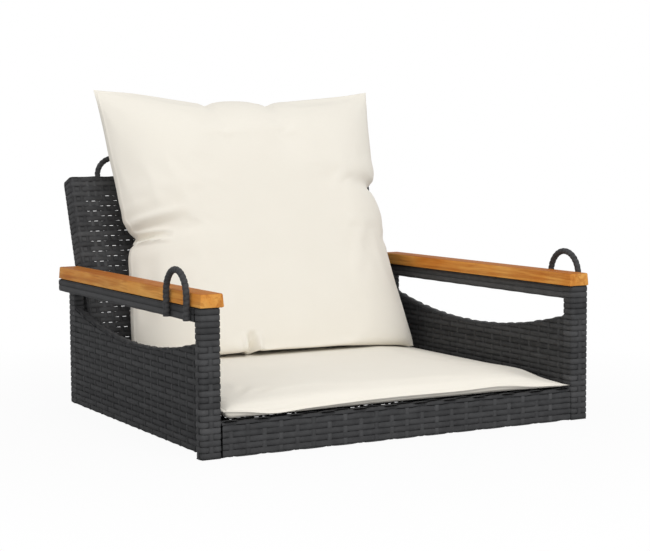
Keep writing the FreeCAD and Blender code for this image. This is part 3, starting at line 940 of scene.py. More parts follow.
@dataclass(frozen=True)
class ClosedWeave:
    """Plain weave of flat rows over and under wide-set stakes, with no light through it."""

    weft: Strand = Strand(0.0077, 0.0016, 8, 0.62)
    stake: Strand = Strand(0.0068, 0.0010)
    row_pitch: float = 0.008
    stake_pitch: float = 0.024
    stake_phase: float = 0.5
    step: float = 0.004
    rise: float = 0.00045
    crown: float = 0.0001
    dive: float = 0.0010
    sink: float = 0.00125
    stake_swing: float = 0.0004
    stake_sink: float = 0.0
    hem_wave: float = 0.0008
    row_slack: float = 0.05
    under_from: float = 0.3
    # painted shade: how much darker the strands are painted, standing in for less light on their faces; below
    # 0 it is painted light
    shade: float = 0.0

    def rows(self, patch: Patch, seed: int, first_edge: float = 0.0, woven_to: float = math.inf) -> Piece:
        """Weave the rows.

        Args:
            patch: what is woven over.
            seed: where the strands' tones are taken from.
            first_edge: the lower edge of the first row, at or below the lowest edge.
            woven_to: above this the rows lie flat, with no stake over them.

        Returns:
            The rows' piece.
        """
        pitch = self.row_pitch
        count = math.ceil((patch.span[1] - first_edge) / pitch - self.row_slack)
        bed = StrandBed(self.weft, patch.length, self.step, count, pitch, first_edge + pitch / 2)
        flat = bed.flat
        wave = np.cos(math.pi * (flat[:, 0] / self.stake_pitch - self.stake_phase + bed.row))
        under = ease((-wave - self.under_from) / (1.0 - self.under_from)) * (bed.middle < woven_to)
        flat[:, 1] += self.hem_wave * (0.5 - 0.5 * wave) * (bed.row == 0)
        flat[:, 2] += self.rise + self.crown * np.maximum(wave, 0.0) - self.dive * under - self.sink
        if patch.limit is None:
            flat[:, 1] = np.clip(flat[:, 1], *patch.span)
            return bed.lay(patch.surface, seed, shade=self.shade)
        highest = patch.limit(flat[:, 0])
        clamped = flat[:, 1] > highest
        flat[:, 1] = np.minimum(flat[:, 1], highest)
        piece = bed.lay(patch.surface, seed, shade=self.shade)
        bed.drop_clamped(clamped)
        return piece

    def stakes(self, patch: Patch, seed: int, count: int, first: float) -> Piece:
        """Weave the stakes that cross the rows.

        Args:
            patch: what is woven over.
            seed: where the strands' tones are taken from.
            count: how many stakes.
            first: the first stake's place along the rows.

        Returns:
            The stakes' piece.
        """
        length = patch.span[1] - patch.span[0]
        bed = StrandBed(self.stake, length, self.row_pitch / 3, count, self.stake_pitch, first)
        flat = bed.flat
        swing = np.cos(math.pi * (flat[:, 0] / self.row_pitch - 0.5 + bed.row))
        flat[:, 2] -= self.stake_swing * swing + self.stake_sink + self.sink
        flat[:, 0] += patch.span[0]
        if patch.limit is not None:
            flat[:, 0] = np.minimum(flat[:, 0], patch.limit(bed.middle))
        return bed.lay(patch.surface, seed, True, self.shade)

    def cover(self, patch: Patch, row_seed: int, stake_seed: int) -> list[Piece]:
        """The pieces of rows and evenly set stakes over a whole patch."""
        count = int(patch.length / self.stake_pitch)
        return [self.rows(patch, row_seed), self.stakes(patch, stake_seed, count, self.stake_pitch / 2)]


@dataclass(frozen=True)
class OpenWeave:
    """Basket weave of paired crossings that leaves small slits between its rows."""

    weft: Strand = Strand(0.0080, 0.0012, 8, 0.6)
    stake: Strand = Strand(0.0060, 0.0008)
    row_pitch: float = 0.0082
    stake_pitch: float = 0.012
    step: float = 0.004
    lift: float = 0.0006
    spread: float = 0.00010
    border: float = 0.023
    snap: float = 2.4
    stake_step: float = 0.03
    flat_lift: float = 0.35

    def rows(self, patch: Patch, seed: int, edge_run: float = 0.0) -> Piece:
        """Weave the rows of a sheet.

        Args:
            patch: what is woven over.
            seed: where the strands' tones are taken from.
            edge_run: how far the rows run on before the sheet's face starts, at both ends.

        Returns:
            The rows' piece.
        """
        length, height = patch.length, patch.span[1]
        count = round(height / self.row_pitch)
        pitch = height / count
        bed = StrandBed(self.weft, length, self.step, count, pitch, pitch / 2)
        flat = bed.flat
        turn = 2.0 * math.pi / (4.0 * self.stake_pitch)
        sign = 1.0 - 2.0 * (bed.row % 2)
        over, apart = (np.tanh(self.snap * np.sin(turn * (flat[:, 0] - edge_run + shift)))
                       for shift in (0.0, self.stake_pitch / 2))
        inside = np.minimum(flat[:, 0] - edge_run, length - edge_run - flat[:, 0]) / self.border
        ends = np.minimum(bed.middle, height - bed.middle) / self.border
        opened = ease(inside * 3.0 - 2.0) * ease(ends * 3.0 - 2.0)
        raised = self.flat_lift + (1.0 - self.flat_lift) * ease(inside * 4.0 + 1.0)
        flat[:, 1] += sign * apart * self.spread * opened
        flat[:, 2] += sign * over * self.lift * raised - self.lift - self.weft.thickness / 2
        flat[:, 1] = np.clip(flat[:, 1], 0.0, height)
        return bed.lay(patch.surface, seed)

    def stakes(self, patch: Patch, seed: int, edge_run: float = 0.0) -> Piece:
        """Lay the straight stakes behind and before the rows.

        Args:
            patch: what is woven over.
            seed: where the strands' tones are taken from.
            edge_run: how far the rows run on before the sheet's face starts, at both ends.

        Returns:
            The stakes' piece.
        """
        count = int((patch.length - 2.0 * edge_run) / self.stake_pitch)
        first = edge_run + self.stake_pitch / 2
        bed = StrandBed(self.stake, patch.span[1], self.stake_step, count, self.stake_pitch, first)
        bed.flat[:, 2] -= self.lift + self.weft.thickness / 2
        return bed.lay(patch.surface, seed, True)


@dataclass
class WoundLoop:
    """A bent rod wound with a strand: two straight legs and a half ring."""

    centre: Vector
    across: Vector
    up: Vector
    radius: float
    leg: float
    thickness: float
    wind: float = 0.0068
    groove: float = 0.0008
    groove_share: float = 0.13
    band: float = 0.010
    band_rise: float = 0.0004
    band_fade: float = 0.002
    sides: int = 16
    step: float = 0.0009
    tone: float = 0.42
    tone_swing: float = 0.2
    # painted shade: how much darker the spiral groove is painted
    groove_painted_shade: float = 0.6
    tone_span: float = 0.96

    def build(self, job: Job) -> Piece:
        """Model the winding as one closed tube with a spiral groove.

        Args:
            job: the piece to make.

        Returns:
            The piece.
        """
        length = 2.0 * self.leg + math.pi * self.radius
        round_strand = Strand(2.0, 2.0, self.sides, 1.0)
        bed = StrandBed(round_strand, length, self.step, 1, 0.0, 0.0)
        run, turn = bed.flat[:, 0], np.arctan2(bed.flat[:, 2], bed.flat[:, 1])
        share = (run / self.wind - turn / (2.0 * math.pi)) % 1.0
        gap = np.minimum(share, 1.0 - share)
        dip = np.exp(-((gap / self.groove_share) ** 2))
        reach = self.thickness / 2 - self.groove * dip
        ends = np.minimum(run, length - run)
        reach = reach + self.band_rise * ease((self.band - ends) / self.band_fade)
        angle = np.clip((run - self.leg) / self.radius, 0.0, math.pi)
        below = np.minimum(run - self.leg, 0.0) + np.minimum(length - self.leg - run, 0.0)
        across, up = np.array(self.across), np.array(self.up)
        side = np.cross(across, up)
        outward = -np.cos(angle)[:, None] * across + np.sin(angle)[:, None] * up
        line = np.array(self.centre) + self.radius * outward + below[:, None] * up
        ring = np.cos(turn)[:, None] * outward + np.sin(turn)[:, None] * side
        # painted shade: the winding is painted darker in its spiral groove, and the groove's place across the
        # strand also sets it at the finish's painted-shade edges
        tones_with_painted_shade = self.tone + self.tone_swing * StrandBed.TONES[job.seed] - self.groove_painted_shade * dip
        bed.mark(run, (share - 0.5) * self.tone_span, tones_with_painted_shade)
        move_points(bed.piece, line + reach[:, None] * ring)
        return finished(job.name, [bed.piece], ROUND)


def rectangle(low: tuple[float, float], high: tuple[float, float], radii: float | Sequence[float],
              start_right: bool = False) -> Outline:
    """A closed rectangle's outline.

    Args:
        low: its lowest corner.
        high: its highest corner.
        radii: the rounding of its corners, or of each corner from the start on.
        start_right: whether it starts in the middle of its right side, not of its left.

    Returns:
        The outline, anticlockwise.
    """
    corners = [(low[0], low[1]), (high[0], low[1]), (high[0], high[1]), (low[0], high[1])]
    if start_right:
        corners = corners[2:] + corners[:2]
    return Outline(corners, radii, True)


@dataclass
class ArmSide:
    """One arm: woven posts, rail and panel, the armrest board and the front hanging loop."""

    strand_finish: Finish
    wood_finish: Finish
    # painted shade: the panels' skins and lining are painted darker than the posts, for the weaker light on
    # the side faces
    weave: ClosedWeave = ClosedWeave(shade=0.37)
    post_weave: ClosedWeave = ClosedWeave(
        Strand(0.0078, 0.0022, 8, 0.70), Strand(0.0072, 0.0016, 8, 0.6), stake_phase=0.0, step=0.0024,
        dive=0.0013, sink=0.0014, stake_swing=0.0007)
    corner: float = 0.0055
    tight_corner: float = 0.001
    rail_corner: float = 0.003
    row_datum: float = 0.001
    plain_from: float = 0.151
    foot_reach: float = 0.0024
    edge_low_height: float = 0.1213
    edge_low_offset: float = 0.002
    edge_radius: float = 0.945
    edge_leg: float = 0.0075
    edge_bump: float = 0.0022
    bump_even: float = 0.6
    bump_beat: float = 0.37
    bump_shift: float = 1.0
    edge_under: float = 0.004
    band_corner: float = 0.004
    band_pitch: float = 0.0078
    band_cover: float = 0.97
    band_thickness: float = 0.0013
    band_step: float = 0.004
    foot_inset: float = 0.001
    foot_cover: float = 0.96
    foot_step: float = 0.012
    lining_thickness: float = 0.0004
    lining_sink: float = 0.0018
    rail_strands: int = 12
    rail_strand: Strand = Strand(0.0077, 0.0013)
    rail_step: float = 0.009
    rail_wave: float = 0.00018
    rail_wave_length: float = 0.048
    rail_wave_shift: float = 2.1
    rail_sink: float = 0.0002
    rail_end_step: float = 0.006
    board_chamfer: float = 0.0022
    board_profile: float = 0.6
    board_draw: tuple[float, float] = (0.92, 0.9965)
    loop_thickness: float = 0.009

    def post(self, job: Job, radii: Sequence[float], foot: float) -> Piece:
        """Weave a post: rows round it, one stake up the middle of each face.

        Args:
            job: the piece to make.
            radii: rounding of its corners, from the inner rear one on, anticlockwise from above.
            foot: how far its lowest row reaches below the wrap.

        Returns:
            The piece.
        """
        low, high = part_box(job.node)
        low.z -= foot
        outline = rectangle((low.x, low.y), (high.x, high.y), radii, start_right=True)
        weave = replace(self.post_weave, stake_pitch=outline.length / 4)
        patch = Patch(Prism(outline, (0, 1, 2), True), outline.length, (low.z, high.z))
        rows_below = math.ceil((self.row_datum - low.z) / weave.row_pitch)
        first_edge = self.row_datum - rows_below * weave.row_pitch
        rows = weave.rows(patch, job.seed, first_edge, self.plain_from)
        woven = replace(patch, span=(low.z, self.plain_from))
        stakes = weave.stakes(woven, job.seed + 40, 3, weave.stake_pitch)
        return finished(job.name, [rows, stakes])

    def rail(self, job: Job) -> Piece:
        """Lay strands along the arm rail and across its rear end.

        Args:
            job: the piece to make.

        Returns:
            The piece.
        """
        low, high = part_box(job.node)
        outline = rectangle((low.x, low.z), (high.x, high.z), self.rail_corner)
        pitch = outline.length / self.rail_strands
        strand, half = self.rail_strand, self.rail_strand.thickness / 2
        bed = StrandBed(strand, high.y - low.y, self.rail_step, self.rail_strands, pitch, pitch / 2)
        wave = np.sin(bed.flat[:, 0] * 2.0 * math.pi / self.rail_wave_length + bed.row * self.rail_wave_shift)
        bed.flat[:, 2] += self.rail_wave * wave - half - self.rail_sink
        along = bed.lay(Prism(outline, (0, 2, 1), False, low.y), job.seed)
        pitch = (high.z - low.z - 2.0 * self.rail_corner) / 2
        cap = StrandBed(strand, high.x - low.x - self.rail_corner, self.rail_end_step, 2, pitch, pitch / 2)
        cap.flat[:, 2] -= half
        origin = Vector((low.x + self.rail_corner / 2, high.y, low.z + self.rail_corner))
        end = cap.lay(FlatSheet(origin, X_AXIS, Z_AXIS, Y_AXIS), job.seed + 9)
        return finished(job.name, [along, end])

    def panel(self, job: Job) -> Piece:
        """Weave the double panel with its hollow upper edge.

        Args:
            job: the piece to make.

        Returns:
            The piece.
        """
        low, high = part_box(job.node)
        length = high.y - low.y
        centre_y = (low.y + high.y) / 2 + self.edge_low_offset
        centre_z = self.edge_low_height + self.edge_radius

        def edge_height(run: np.ndarray) -> np.ndarray:
            """Height of the skins' upper edge over the panel's foot, along the panel."""
            hollow = centre_z - np.sqrt(self.edge_radius ** 2 - (low.y + run - centre_y) ** 2)
            return hollow - low.z - self.edge_under

        thickness, seed = high.x - low.x, job.seed
        outer = Patch(FlatSheet(low, Y_AXIS, Z_AXIS, -X_AXIS), length, (0.0, high.z - low.z), edge_height)
        inner = replace(outer, surface=FlatSheet(low + thickness * X_AXIS, Y_AXIS, Z_AXIS, X_AXIS))
        parts = self.weave.cover(outer, seed, seed + 60)
        count = int(length / self.weave.stake_pitch)
        pitch = length / count
        lining = replace(self.weave, stake=Strand(pitch, self.lining_thickness), stake_pitch=pitch,
                         stake_swing=0.0, stake_sink=self.lining_sink)
        parts.append(lining.stakes(outer, seed + 30, count, pitch / 2))
        parts.extend(self.weave.cover(inner, seed + 25, seed + 85))
        rows = round(thickness / self.weave.row_pitch)
        pitch = (thickness - 2.0 * self.foot_inset) / rows
        foot_strand = Strand(pitch * self.foot_cover, self.weave.weft.thickness)
        foot = StrandBed(foot_strand, length, self.foot_step, rows, pitch, self.foot_inset + pitch / 2)
        foot.flat[:, 2] -= self.weave.weft.thickness / 2
        parts.append(foot.lay(FlatSheet(low, Y_AXIS, X_AXIS, -Z_AXIS), seed + 90))
        parts.append(self.edge_band(low, high, centre_y, centre_z, seed + 120))
        return finished(job.name, parts)

    def edge_band(self, low: Vector, high: Vector, centre_y: float, centre_z: float, seed: int) -> Piece:
        """Lay the strands that run over the panel's hollow edge.

        Args:
            low: the panel's lowest corner.
            high: its highest corner.
            centre_y: where the hollow is lowest.
            centre_z: height of the hollow's centre.
            seed: where the tones are taken from.

        Returns:
            The band's piece.
        """
        corners = [(high.x, -self.edge_leg), (high.x, 0.0), (low.x, 0.0), (low.x, -self.edge_leg)]
        section = Outline(corners, self.band_corner, False)
        start = math.asin((low.y - centre_y) / self.edge_radius)
        end = math.asin((high.y - centre_y) / self.edge_radius)
        run = (end - start) * self.edge_radius
        rows = round(section.length / self.band_pitch)
        pitch = section.length / rows
        strand = Strand(pitch * self.band_cover, self.band_thickness)
        bed = StrandBed(strand, run, self.band_step, rows, pitch, pitch / 2)
        turns = 2.0 * math.pi * bed.flat[:, 0] / self.weave.stake_pitch
        beat = np.sin(turns * self.bump_beat + self.bump_shift)
        bump = np.cos(turns) * (self.bump_even + (1.0 - self.bump_even) * beat)
        bed.flat[:, 2] += self.edge_bump * (0.5 * bump - 0.5) - self.band_thickness / 2
        return bed.lay(HollowEdge(section, self.edge_radius, centre_y, centre_z, start), seed)

    def board(self, job: Job) -> Piece:
        """Shape an armrest board: drawn in at the top, all edges chamfered.

        Args:
            job: the piece to make.

        Returns:
            The piece.
        """
        low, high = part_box(job.node)
        piece = block(low, high)
        select(piece, "FACE", lambda face: face.normal.z > 0.5)
        with editing(piece):
            bpy.ops.transform.resize(value=(*self.board_draw, 1.0), center_override=(low + high) / 2)
        chamfer(piece, self.board_chamfer, self.board_profile)
        return finished(job.name, [piece], SHARP)

    def loop(self, job: Job) -> Piece:
        """Wind the hanging loop that stands beside the armrest.

        Args:
            job: the piece to make.

        Returns:
            The piece.
        """
        low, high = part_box(job.node)
        middle = (low + high) / 2
        radius = (high.y - low.y - self.loop_thickness) / 2
        centre = Vector((middle.x, middle.y, high.z - self.loop_thickness / 2 - radius))
        return WoundLoop(centre, Y_AXIS, Z_AXIS, radius, centre.z - low.z, self.loop_thickness).build(job)

    def build(self) -> list[Piece]:
        """Model the left arm, copy it to the right and hand both over.

        Returns:
            The pieces.
        """
        wide, tight = self.corner, self.tight_corner
        front = Job("left_front_post_weave", "left_front_post_wrap", 11)
        rear = Job("left_rear_post_weave", "left_rear_post_wrap", 211)
        jobs = (
            (self.post, front, (tight, wide, wide, wide), self.foot_reach),
            (self.post, rear, (wide, wide, tight, tight), 0.0),
            (self.rail, Job("left_rail_strands", "left_arm_rail_wrap", 411)),
            (self.panel, Job("left_woven_panel", "left_side_weave", 611)),
            (self.board, Job("left_armrest_board", "left_armrest", slot=Slot.WOOD)),
            (self.loop, Job("left_loop_winding", "left_front_loop_wrap", 811, Slot.LOOP_WRAP)),
        )
        pieces = []
        for job, piece in [(job, make(job, *sizes)) for make, job, *sizes in jobs]:
            finish = self.wood_finish if job.slot is Slot.WOOD else self.strand_finish
            other = job.on_right()
            copy = mirrored(piece, other.name)
            pieces.extend([job.adopt(piece, finish), other.adopt(copy, finish)])
        return pieces


@dataclass
class SeatFrame:
    """The seat: woven aprons and sides round its rails, and an open woven sheet over them."""

    strand_finish: Finish
    # painted light: the aprons and seat sides are painted lighter than the other strands
    weave: ClosedWeave = ClosedWeave(shade=-0.22)
    sheet_weave: OpenWeave = OpenWeave(spread=0.0009, lift=0.0011)
    corner: float = 0.003
    roll_corner: float = 0.005
    roll_drop: float = 0.003

    def wrap(self, job: Job, lengthwise: int, drop: float = 0.0) -> Piece:
        """Weave a rail's outer, lower and inner side.

        Args:
            job: the piece to make.
            lengthwise: the axis that the rail runs along.
            drop: how far its first row stays below the wrap's top.

        Returns:
            The piece.
        """
        low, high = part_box(job.node)
        cross = 1 - lengthwise
        near, far = low[cross], high[cross]
        corners = [(near, high.z - drop), (near, low.z), (far, low.z), (far, high.z)]
        outline = Outline(corners, self.corner, False)
        length = high[lengthwise] - low[lengthwise]
        surface = Prism(outline, (cross, 2, lengthwise), False, low[lengthwise])
        patch = Patch(surface, length, (0.0, outline.length))
        return finished(job.name, self.weave.cover(patch, job.seed, job.seed + 30))

    def sheet(self, job: Job) -> Piece:
        """Weave the open sheet that carries the cushion and rolls over the front rail.

        Args:
            job: the piece to make.

        Returns:
            The piece.
        """
        low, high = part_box(job.node)
        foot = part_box("front_apron_weave")[1].z - self.roll_drop
        outline = Outline([(high.y, high.z), (low.y, high.z), (low.y, foot)], self.roll_corner, False)
        patch = Patch(Prism(outline, (1, 2, 0), False, low.x), high.x - low.x, (0.0, outline.length))
        rows = self.sheet_weave.rows(patch, job.seed)
        return finished(job.name, [rows, self.sheet_weave.stakes(patch, job.seed + 100)])

    def build(self) -> list[Piece]:
        """Model the seat's pieces and hand them over.

        Returns:
            The pieces.
        """
        jobs = (
            (self.wrap, Job("front_apron_strands", "front_apron_weave", 1011), 0, self.roll_drop),
            (self.wrap, Job("rear_apron_strands", "rear_apron_weave", 1111), 0),
            (self.wrap, Job("seat_left_side_strands", "seat_left_wrap", 1211), 1),
            (self.wrap, Job("seat_right_side_strands", "seat_right_wrap", 1311), 1),
            (self.sheet, Job("seat_open_weave", "seat_weave", 1411)),
        )
        return [job.adopt(make(job, *sizes), self.strand_finish) for make, job, *sizes in jobs]


@dataclass
class LeaningBack:
    """The back, drawn upright from its foot and then leaned: woven borders, open sheet, two loops."""

    strand_finish: Finish
    sheet_weave: OpenWeave = OpenWeave()
    weave: ClosedWeave = ClosedWeave(row_pitch=0.0082, weft=Strand(0.0078, 0.0016, 8, 0.62))
    tilt: float = math.radians(19.4)
    foot_gap: float = 0.0003
    half_width: float = 0.2714
    length: float = 0.311
    depth: float = 0.025
    skin: float = 0.0025
    corner: float = 0.008
    top_corner: float = 0.005
    top_wave: float = 0.0006
    top_wave_length: float = 0.0375
    top_fade: float = 0.02
    stake_gap: float = 0.001
    border_cover: float = 0.95
    border_thickness: float = 0.0012
    border_step: float = 0.003
    border_wave: float = 0.0003
    border_wave_length: float = 0.0125
    border_sink: float = 0.0009
    loop_place: float = 0.179
    loop_depth: float = 0.0045
    loop_centre: float = 0.318
    loop_foot: float = 0.288
    loop_radius: float = 0.0325
    loop_thickness: float = 0.009

    def lean(self) -> Matrix:
        """The place of the back's foot and its tilt."""
        foot = Vector((0.0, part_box("rear_apron_weave")[1].y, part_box("seat_weave")[1].z + self.foot_gap))
        return Matrix.Translation(foot) @ Matrix.Rotation(-self.tilt, 4, "X")

    def leaned(self, points: np.ndarray) -> np.ndarray:
        """Points that are drawn upright, in their place."""
        lean = np.array(self.lean())
        return points @ lean[:3, :3].T + lean[:3, 3]

    def settle(self, name: str, parts: Sequence[Piece]) -> Piece:
        """Join parts, round the back's upper corners and lean the piece.

        Args:
            name: the piece's name.
            parts: the parts, drawn upright.

        Returns:
            The piece in its place.
        """
        piece = joined(name, parts)
        points = points_of(piece)
        inner_x, inner_z = self.half_width - self.top_corner, self.length - self.top_corner
        over_x = np.maximum(np.abs(points[:, 0]) - inner_x, 0.0)
        over_z = np.maximum(points[:, 2] - inner_z, 0.0)
        reach = np.hypot(over_x, over_z)
        shrink = np.where((over_x > 0) & (over_z > 0) & (reach > self.top_corner),
                          self.top_corner / np.maximum(reach, TINY), 1.0)
        rounded = np.sign(points[:, 0]) * (inner_x + over_x * shrink)
        points[:, 0] = np.where(shrink < 1.0, rounded, points[:, 0])
        points[:, 2] = np.where(shrink < 1.0, inner_z + over_z * shrink, points[:, 2])
        near_top = ease((points[:, 2] - self.length + self.top_fade) / self.top_fade)
        wave = 1.0 - np.cos(points[:, 0] * 2.0 * math.pi / self.top_wave_length)
        points[:, 2] -= near_top * self.top_wave * wave / 2
        move_points(piece, self.leaned(points))
        return close_and_smooth(piece)

    def sheet(self, job: Job) -> Piece:
        """Weave the open sheet, whose rows go on round both uprights' outer sides.

        Args:
            job: the piece to make.

        Returns:
            The piece.
        """
        wide, front = self.half_width, -self.depth
        outline = Outline([(-wide, 0.0), (-wide, front), (wide, front), (wide, 0.0)], self.corner, False)
        patch = Patch(Prism(outline, (0, 1, 2), True), outline.length, (0.0, self.length))
        edge_run = (outline.length - 2.0 * wide) / 2
        rows = self.sheet_weave.rows(patch, job.seed, edge_run)
        lower = replace(patch, span=(0.0, self.length - self.stake_gap))
        return self.settle(job.name, [rows, self.sheet_weave.stakes(lower, job.seed + 60, edge_run)])

    def upright(self, job: Job, side: float) -> Piece:
        """Weave the rear and inner face of an upright, in line with the sheet's rows.

        Args:
            job: the piece to make.
            side: -1 for the left one, 1 for the right one.

        Returns:
            The piece.
        """
        edges = sorted((side * self.half_width, side * (self.half_width - self.depth)))
        low = -self.depth + self.skin
        corners = [(edges[1], low), (edges[1], 0.0), (edges[0], 0.0), (edges[0], low)]
        outline = Outline(corners[:3] if side < 0 else corners[1:], self.corner, False)
        rows = round(self.length / self.sheet_weave.row_pitch)
        pitch = self.length / rows
        strand = Strand(pitch * self.border_cover, self.border_thickness)
        bed = StrandBed(strand, outline.length, self.border_step, rows, pitch, pitch / 2)
        wave = np.cos(math.pi * (bed.flat[:, 0] / self.border_wave_length + bed.row))
        bed.flat[:, 2] += self.border_wave * wave - self.border_sink
        return self.settle(job.name, [bed.lay(Prism(outline, (0, 1, 2), True), job.seed)])

    def crossbar(self, job: Job, corners: Sequence[tuple[float, float]], half: float) -> Piece:
        """Weave the faces of the top or bottom rail with rows along it.

        Args:
            job: the piece to make.
            corners: the faces' corners, in depth and height.
            half: half the rows' length.

        Returns:
            The piece.
        """
        outline = Outline(corners, self.corner, False)
        patch = Patch(Prism(outline, (1, 2, 0), False, -half), 2.0 * half, (0.0, outline.length))
        return self.settle(job.name, self.weave.cover(patch, job.seed, job.seed + 20))

    def loop(self, job: Job, side: float) -> Piece:
        """Wind a back loop, leaned with the back.

        Args:
            job: the piece to make.
            side: -1 for the left one, 1 for the right one.

        Returns:
            The piece.
        """
        lean = self.lean()
        centre = lean @ Vector((side * self.loop_place, self.loop_depth, self.loop_centre))
        leg = self.loop_centre - self.loop_foot
        up = lean.to_3x3() @ Z_AXIS
        return WoundLoop(centre, X_AXIS, up, self.loop_radius, leg, self.loop_thickness).build(job)

    def build(self) -> list[Piece]:
        """Model the back's pieces and hand them over.

        Returns:
            The pieces.
        """
        front = -self.depth + self.skin
        foot = [(front, 0.0), (0.0, 0.0), (0.0, self.depth), (front, self.depth)]
        high, under = self.length, self.length - self.depth
        head = [(front, under), (0.0, under), (0.0, high), (-self.depth, high)]
        inner = self.half_width - self.depth
        left = Job("back_left_loop_winding", "back_left_loop_wrap", 2211, Slot.LOOP_WRAP)
        jobs = (
            (self.sheet, Job("back_open_weave", "back_weave", 1611)),
            (self.upright, Job("back_left_border_weave", "back_left_wrap", 1811), -1.0),
            (self.upright, Job("back_right_border_weave", "back_right_wrap", 1911), 1.0),
            (self.crossbar, Job("back_top_border_weave", "back_top_wrap", 2011), head, self.half_width),
            (self.crossbar, Job("back_bottom_border_weave", "back_bottom_wrap", 2111), foot, inner),
            (self.loop, left, -1.0),
            (self.loop, replace(left.on_right(), seed=2213), 1.0),
        )
        return [job.adopt(make(job, *sizes), self.strand_finish) for make, job, *sizes in jobs]


@dataclass(frozen=True)
class Fold:
    """A crease in a cushion's face, deepest at its start, in the cushion's own plane."""

    start: tuple[float, float]
    end: tuple[float, float]
    depth: float
    width: float


@dataclass(frozen=True)
class Filling:
    """How a cushion is filled in the cloth simulation."""

    pressure: float
    most: float
    fill: float
    frames: int = 20


class Cushion:
    """Two cloth panels sewn at a knife edge, shaped over a grid and filled by a cloth simulation."""

    SEAM = "seam"
    SEAM_CREASE = 0.9
    SEWN = 0.99
    RIM = 0.9999
    CROWDING = 0.45
    FADE_POWER = 0.8
    ROLL_HEIGHT, ROLL_PLACE, ROLL_WIDTH = 0.4, 2.0, 0.8
    CLOTH = {"quality": 6, "mass": 0.2, "tension_stiffness": 14.0, "compression_stiffness": 14.0,
             "shear_stiffness": 6.0, "bending_stiffness": 0.8, "use_pressure": True}

    def __init__(self, job: Job, across: int, along: int) -> None:
        """Lay out the two panels.

        Args:
            job: the piece to make.
            across: squares from side to side.
            along: squares from edge to edge.
        """
        self.job = job
        deselect()
        bpy.ops.mesh.primitive_grid_add(x_subdivisions=across, y_subdivisions=along, size=2.0)
        self.piece = named(bpy.context.object, job.name)
        with editing(self.piece):
            bpy.ops.mesh.select_all(action="SELECT")
            bpy.ops.mesh.duplicate()
            bpy.ops.mesh.flip_normals()
        grid = points_of(self.piece)
        crowded = grid * (1.0 + self.CROWDING - self.CROWDING * grid * grid)
        self.s, self.t = crowded[:, 0], crowded[:, 1]
        self.upper = np.arange(len(grid)) < len(grid) // 2
        self.rim = np.maximum(np.abs(self.s), np.abs(self.t)) > self.RIM

    def seam_share(self) -> np.ndarray:
        """Read how much each point belongs to the seam.

        Returns:
            A number from 0 to 1 for each point.
        """
        index = self.piece.vertex_groups[self.SEAM].index
        return np.array([sum(group.weight for group in vertex.groups if group.group == index)
                         for vertex in self.piece.data.vertices])

    def sew(self, points: np.ndarray) -> None:
        """Put the panels in shape and sew them along their rim.

        Args:
            points: the shape.
        """
        move_points(self.piece, points)
        seam = self.piece.vertex_groups.new(name=self.SEAM)
        seam.add(np.flatnonzero(self.rim).tolist(), 1.0, "REPLACE")
        with editing(self.piece):
            bpy.ops.mesh.select_all(action="SELECT")
            bpy.ops.mesh.remove_doubles(threshold=1e-6)
            bpy.ops.mesh.normals_make_consistent(inside=False)

    def fill(self, filling: Filling) -> None:
        """Fill the sewn panels in a cloth simulation with the seam held.

        Args:
            filling: pressure and the most that a point may move.
        """
        before = points_of(self.piece)
        cloth = self.piece.modifiers.new("Filling", "CLOTH")
        own = {"uniform_pressure_force": filling.pressure, "vertex_group_mass": self.SEAM}
        for name, setting in {**self.CLOTH, **own}.items():
            setattr(cloth.settings, name, setting)
        cloth.settings.effector_weights.gravity = 0.0
        cloth.collision_settings.use_collision = False
        cloth.point_cache.frame_start = 1
        cloth.point_cache.frame_end = filling.frames
        for number in range(1, filling.frames + 1):
            bpy.context.scene.frame_set(number)
        apply_modifier(self.piece, cloth.name)
        bpy.context.scene.frame_set(1)
        moved = points_of(self.piece) - before
        size = np.linalg.norm(moved, axis=1)
        moved *= (filling.most * np.tanh(size / filling.most) / np.maximum(size, TINY))[:, None]
        move_points(self.piece, before + moved)

    def refine(self) -> None:
        """Crease the seam and subdivide once."""
        mesh, held = self.piece.data, self.seam_share() > 0.0
        crease = mesh.attributes.new("crease_edge", "FLOAT", "EDGE")
        ends = np.empty(len(mesh.edges) * 2, int)
        mesh.edges.foreach_get("vertices", ends)
        sewn = held[ends.reshape(-1, 2)].all(axis=1).astype(float)
        crease.data.foreach_set("value", sewn * self.SEAM_CREASE)
        finer = self.piece.modifiers.new("Finer", "SUBSURF")
        finer.levels = 1
        finer.render_levels = 1
        apply_modifier(self.piece, finer.name)

    def stitch(self, away: float, depth: float, width: float) -> None:
        """Press a line of stitching beside the seam on both panels.

        Args:
            away: how far from the seam it runs.
            depth: how deep it draws the cloth in.
            width: half its width.
        """
        vertices = self.piece.data.vertices
        seam = np.flatnonzero(self.seam_share() > self.SEWN).tolist()
        tree = KDTree(len(seam))
        for number in seam:
            tree.insert(vertices[number].co, number)
        tree.balance()
        apart = np.array([tree.find(vertex.co)[2] for vertex in vertices])
        normals = np.array([vertex.normal for vertex in vertices])
        drawn = depth * np.exp(-((apart - away) / width) ** 2)
        move_points(self.piece, points_of(self.piece) - normals * drawn[:, None])

    def press(self, plane: np.ndarray, inward: np.ndarray, folds: Sequence[Fold], face: np.ndarray) -> None:
        """Press creases into a face, with a soft roll on both sides of each.

        Args:
            plane: the points in the cushion's own plane.
            inward: the direction that a crease goes in.
            folds: the creases.
            face: which points belong to the face, from 0 to 1.
        """
        points = points_of(self.piece)
        for fold in folds:
            start, end = np.array(fold.start), np.array(fold.end)
            run = end - start
            share = np.clip((plane - start) @ run / (run @ run), 0.0, 1.0)
            away = np.linalg.norm(plane - start - share[:, None] * run, axis=1) / fold.width
            fade = (1.0 - share) ** self.FADE_POWER * face
            roll = np.exp(-((away - self.ROLL_PLACE) / self.ROLL_WIDTH) ** 2)
            depth = np.exp(-away ** 2) - self.ROLL_HEIGHT * roll
            points += (fold.depth * depth * fade)[:, None] * inward
        move_points(self.piece, points)

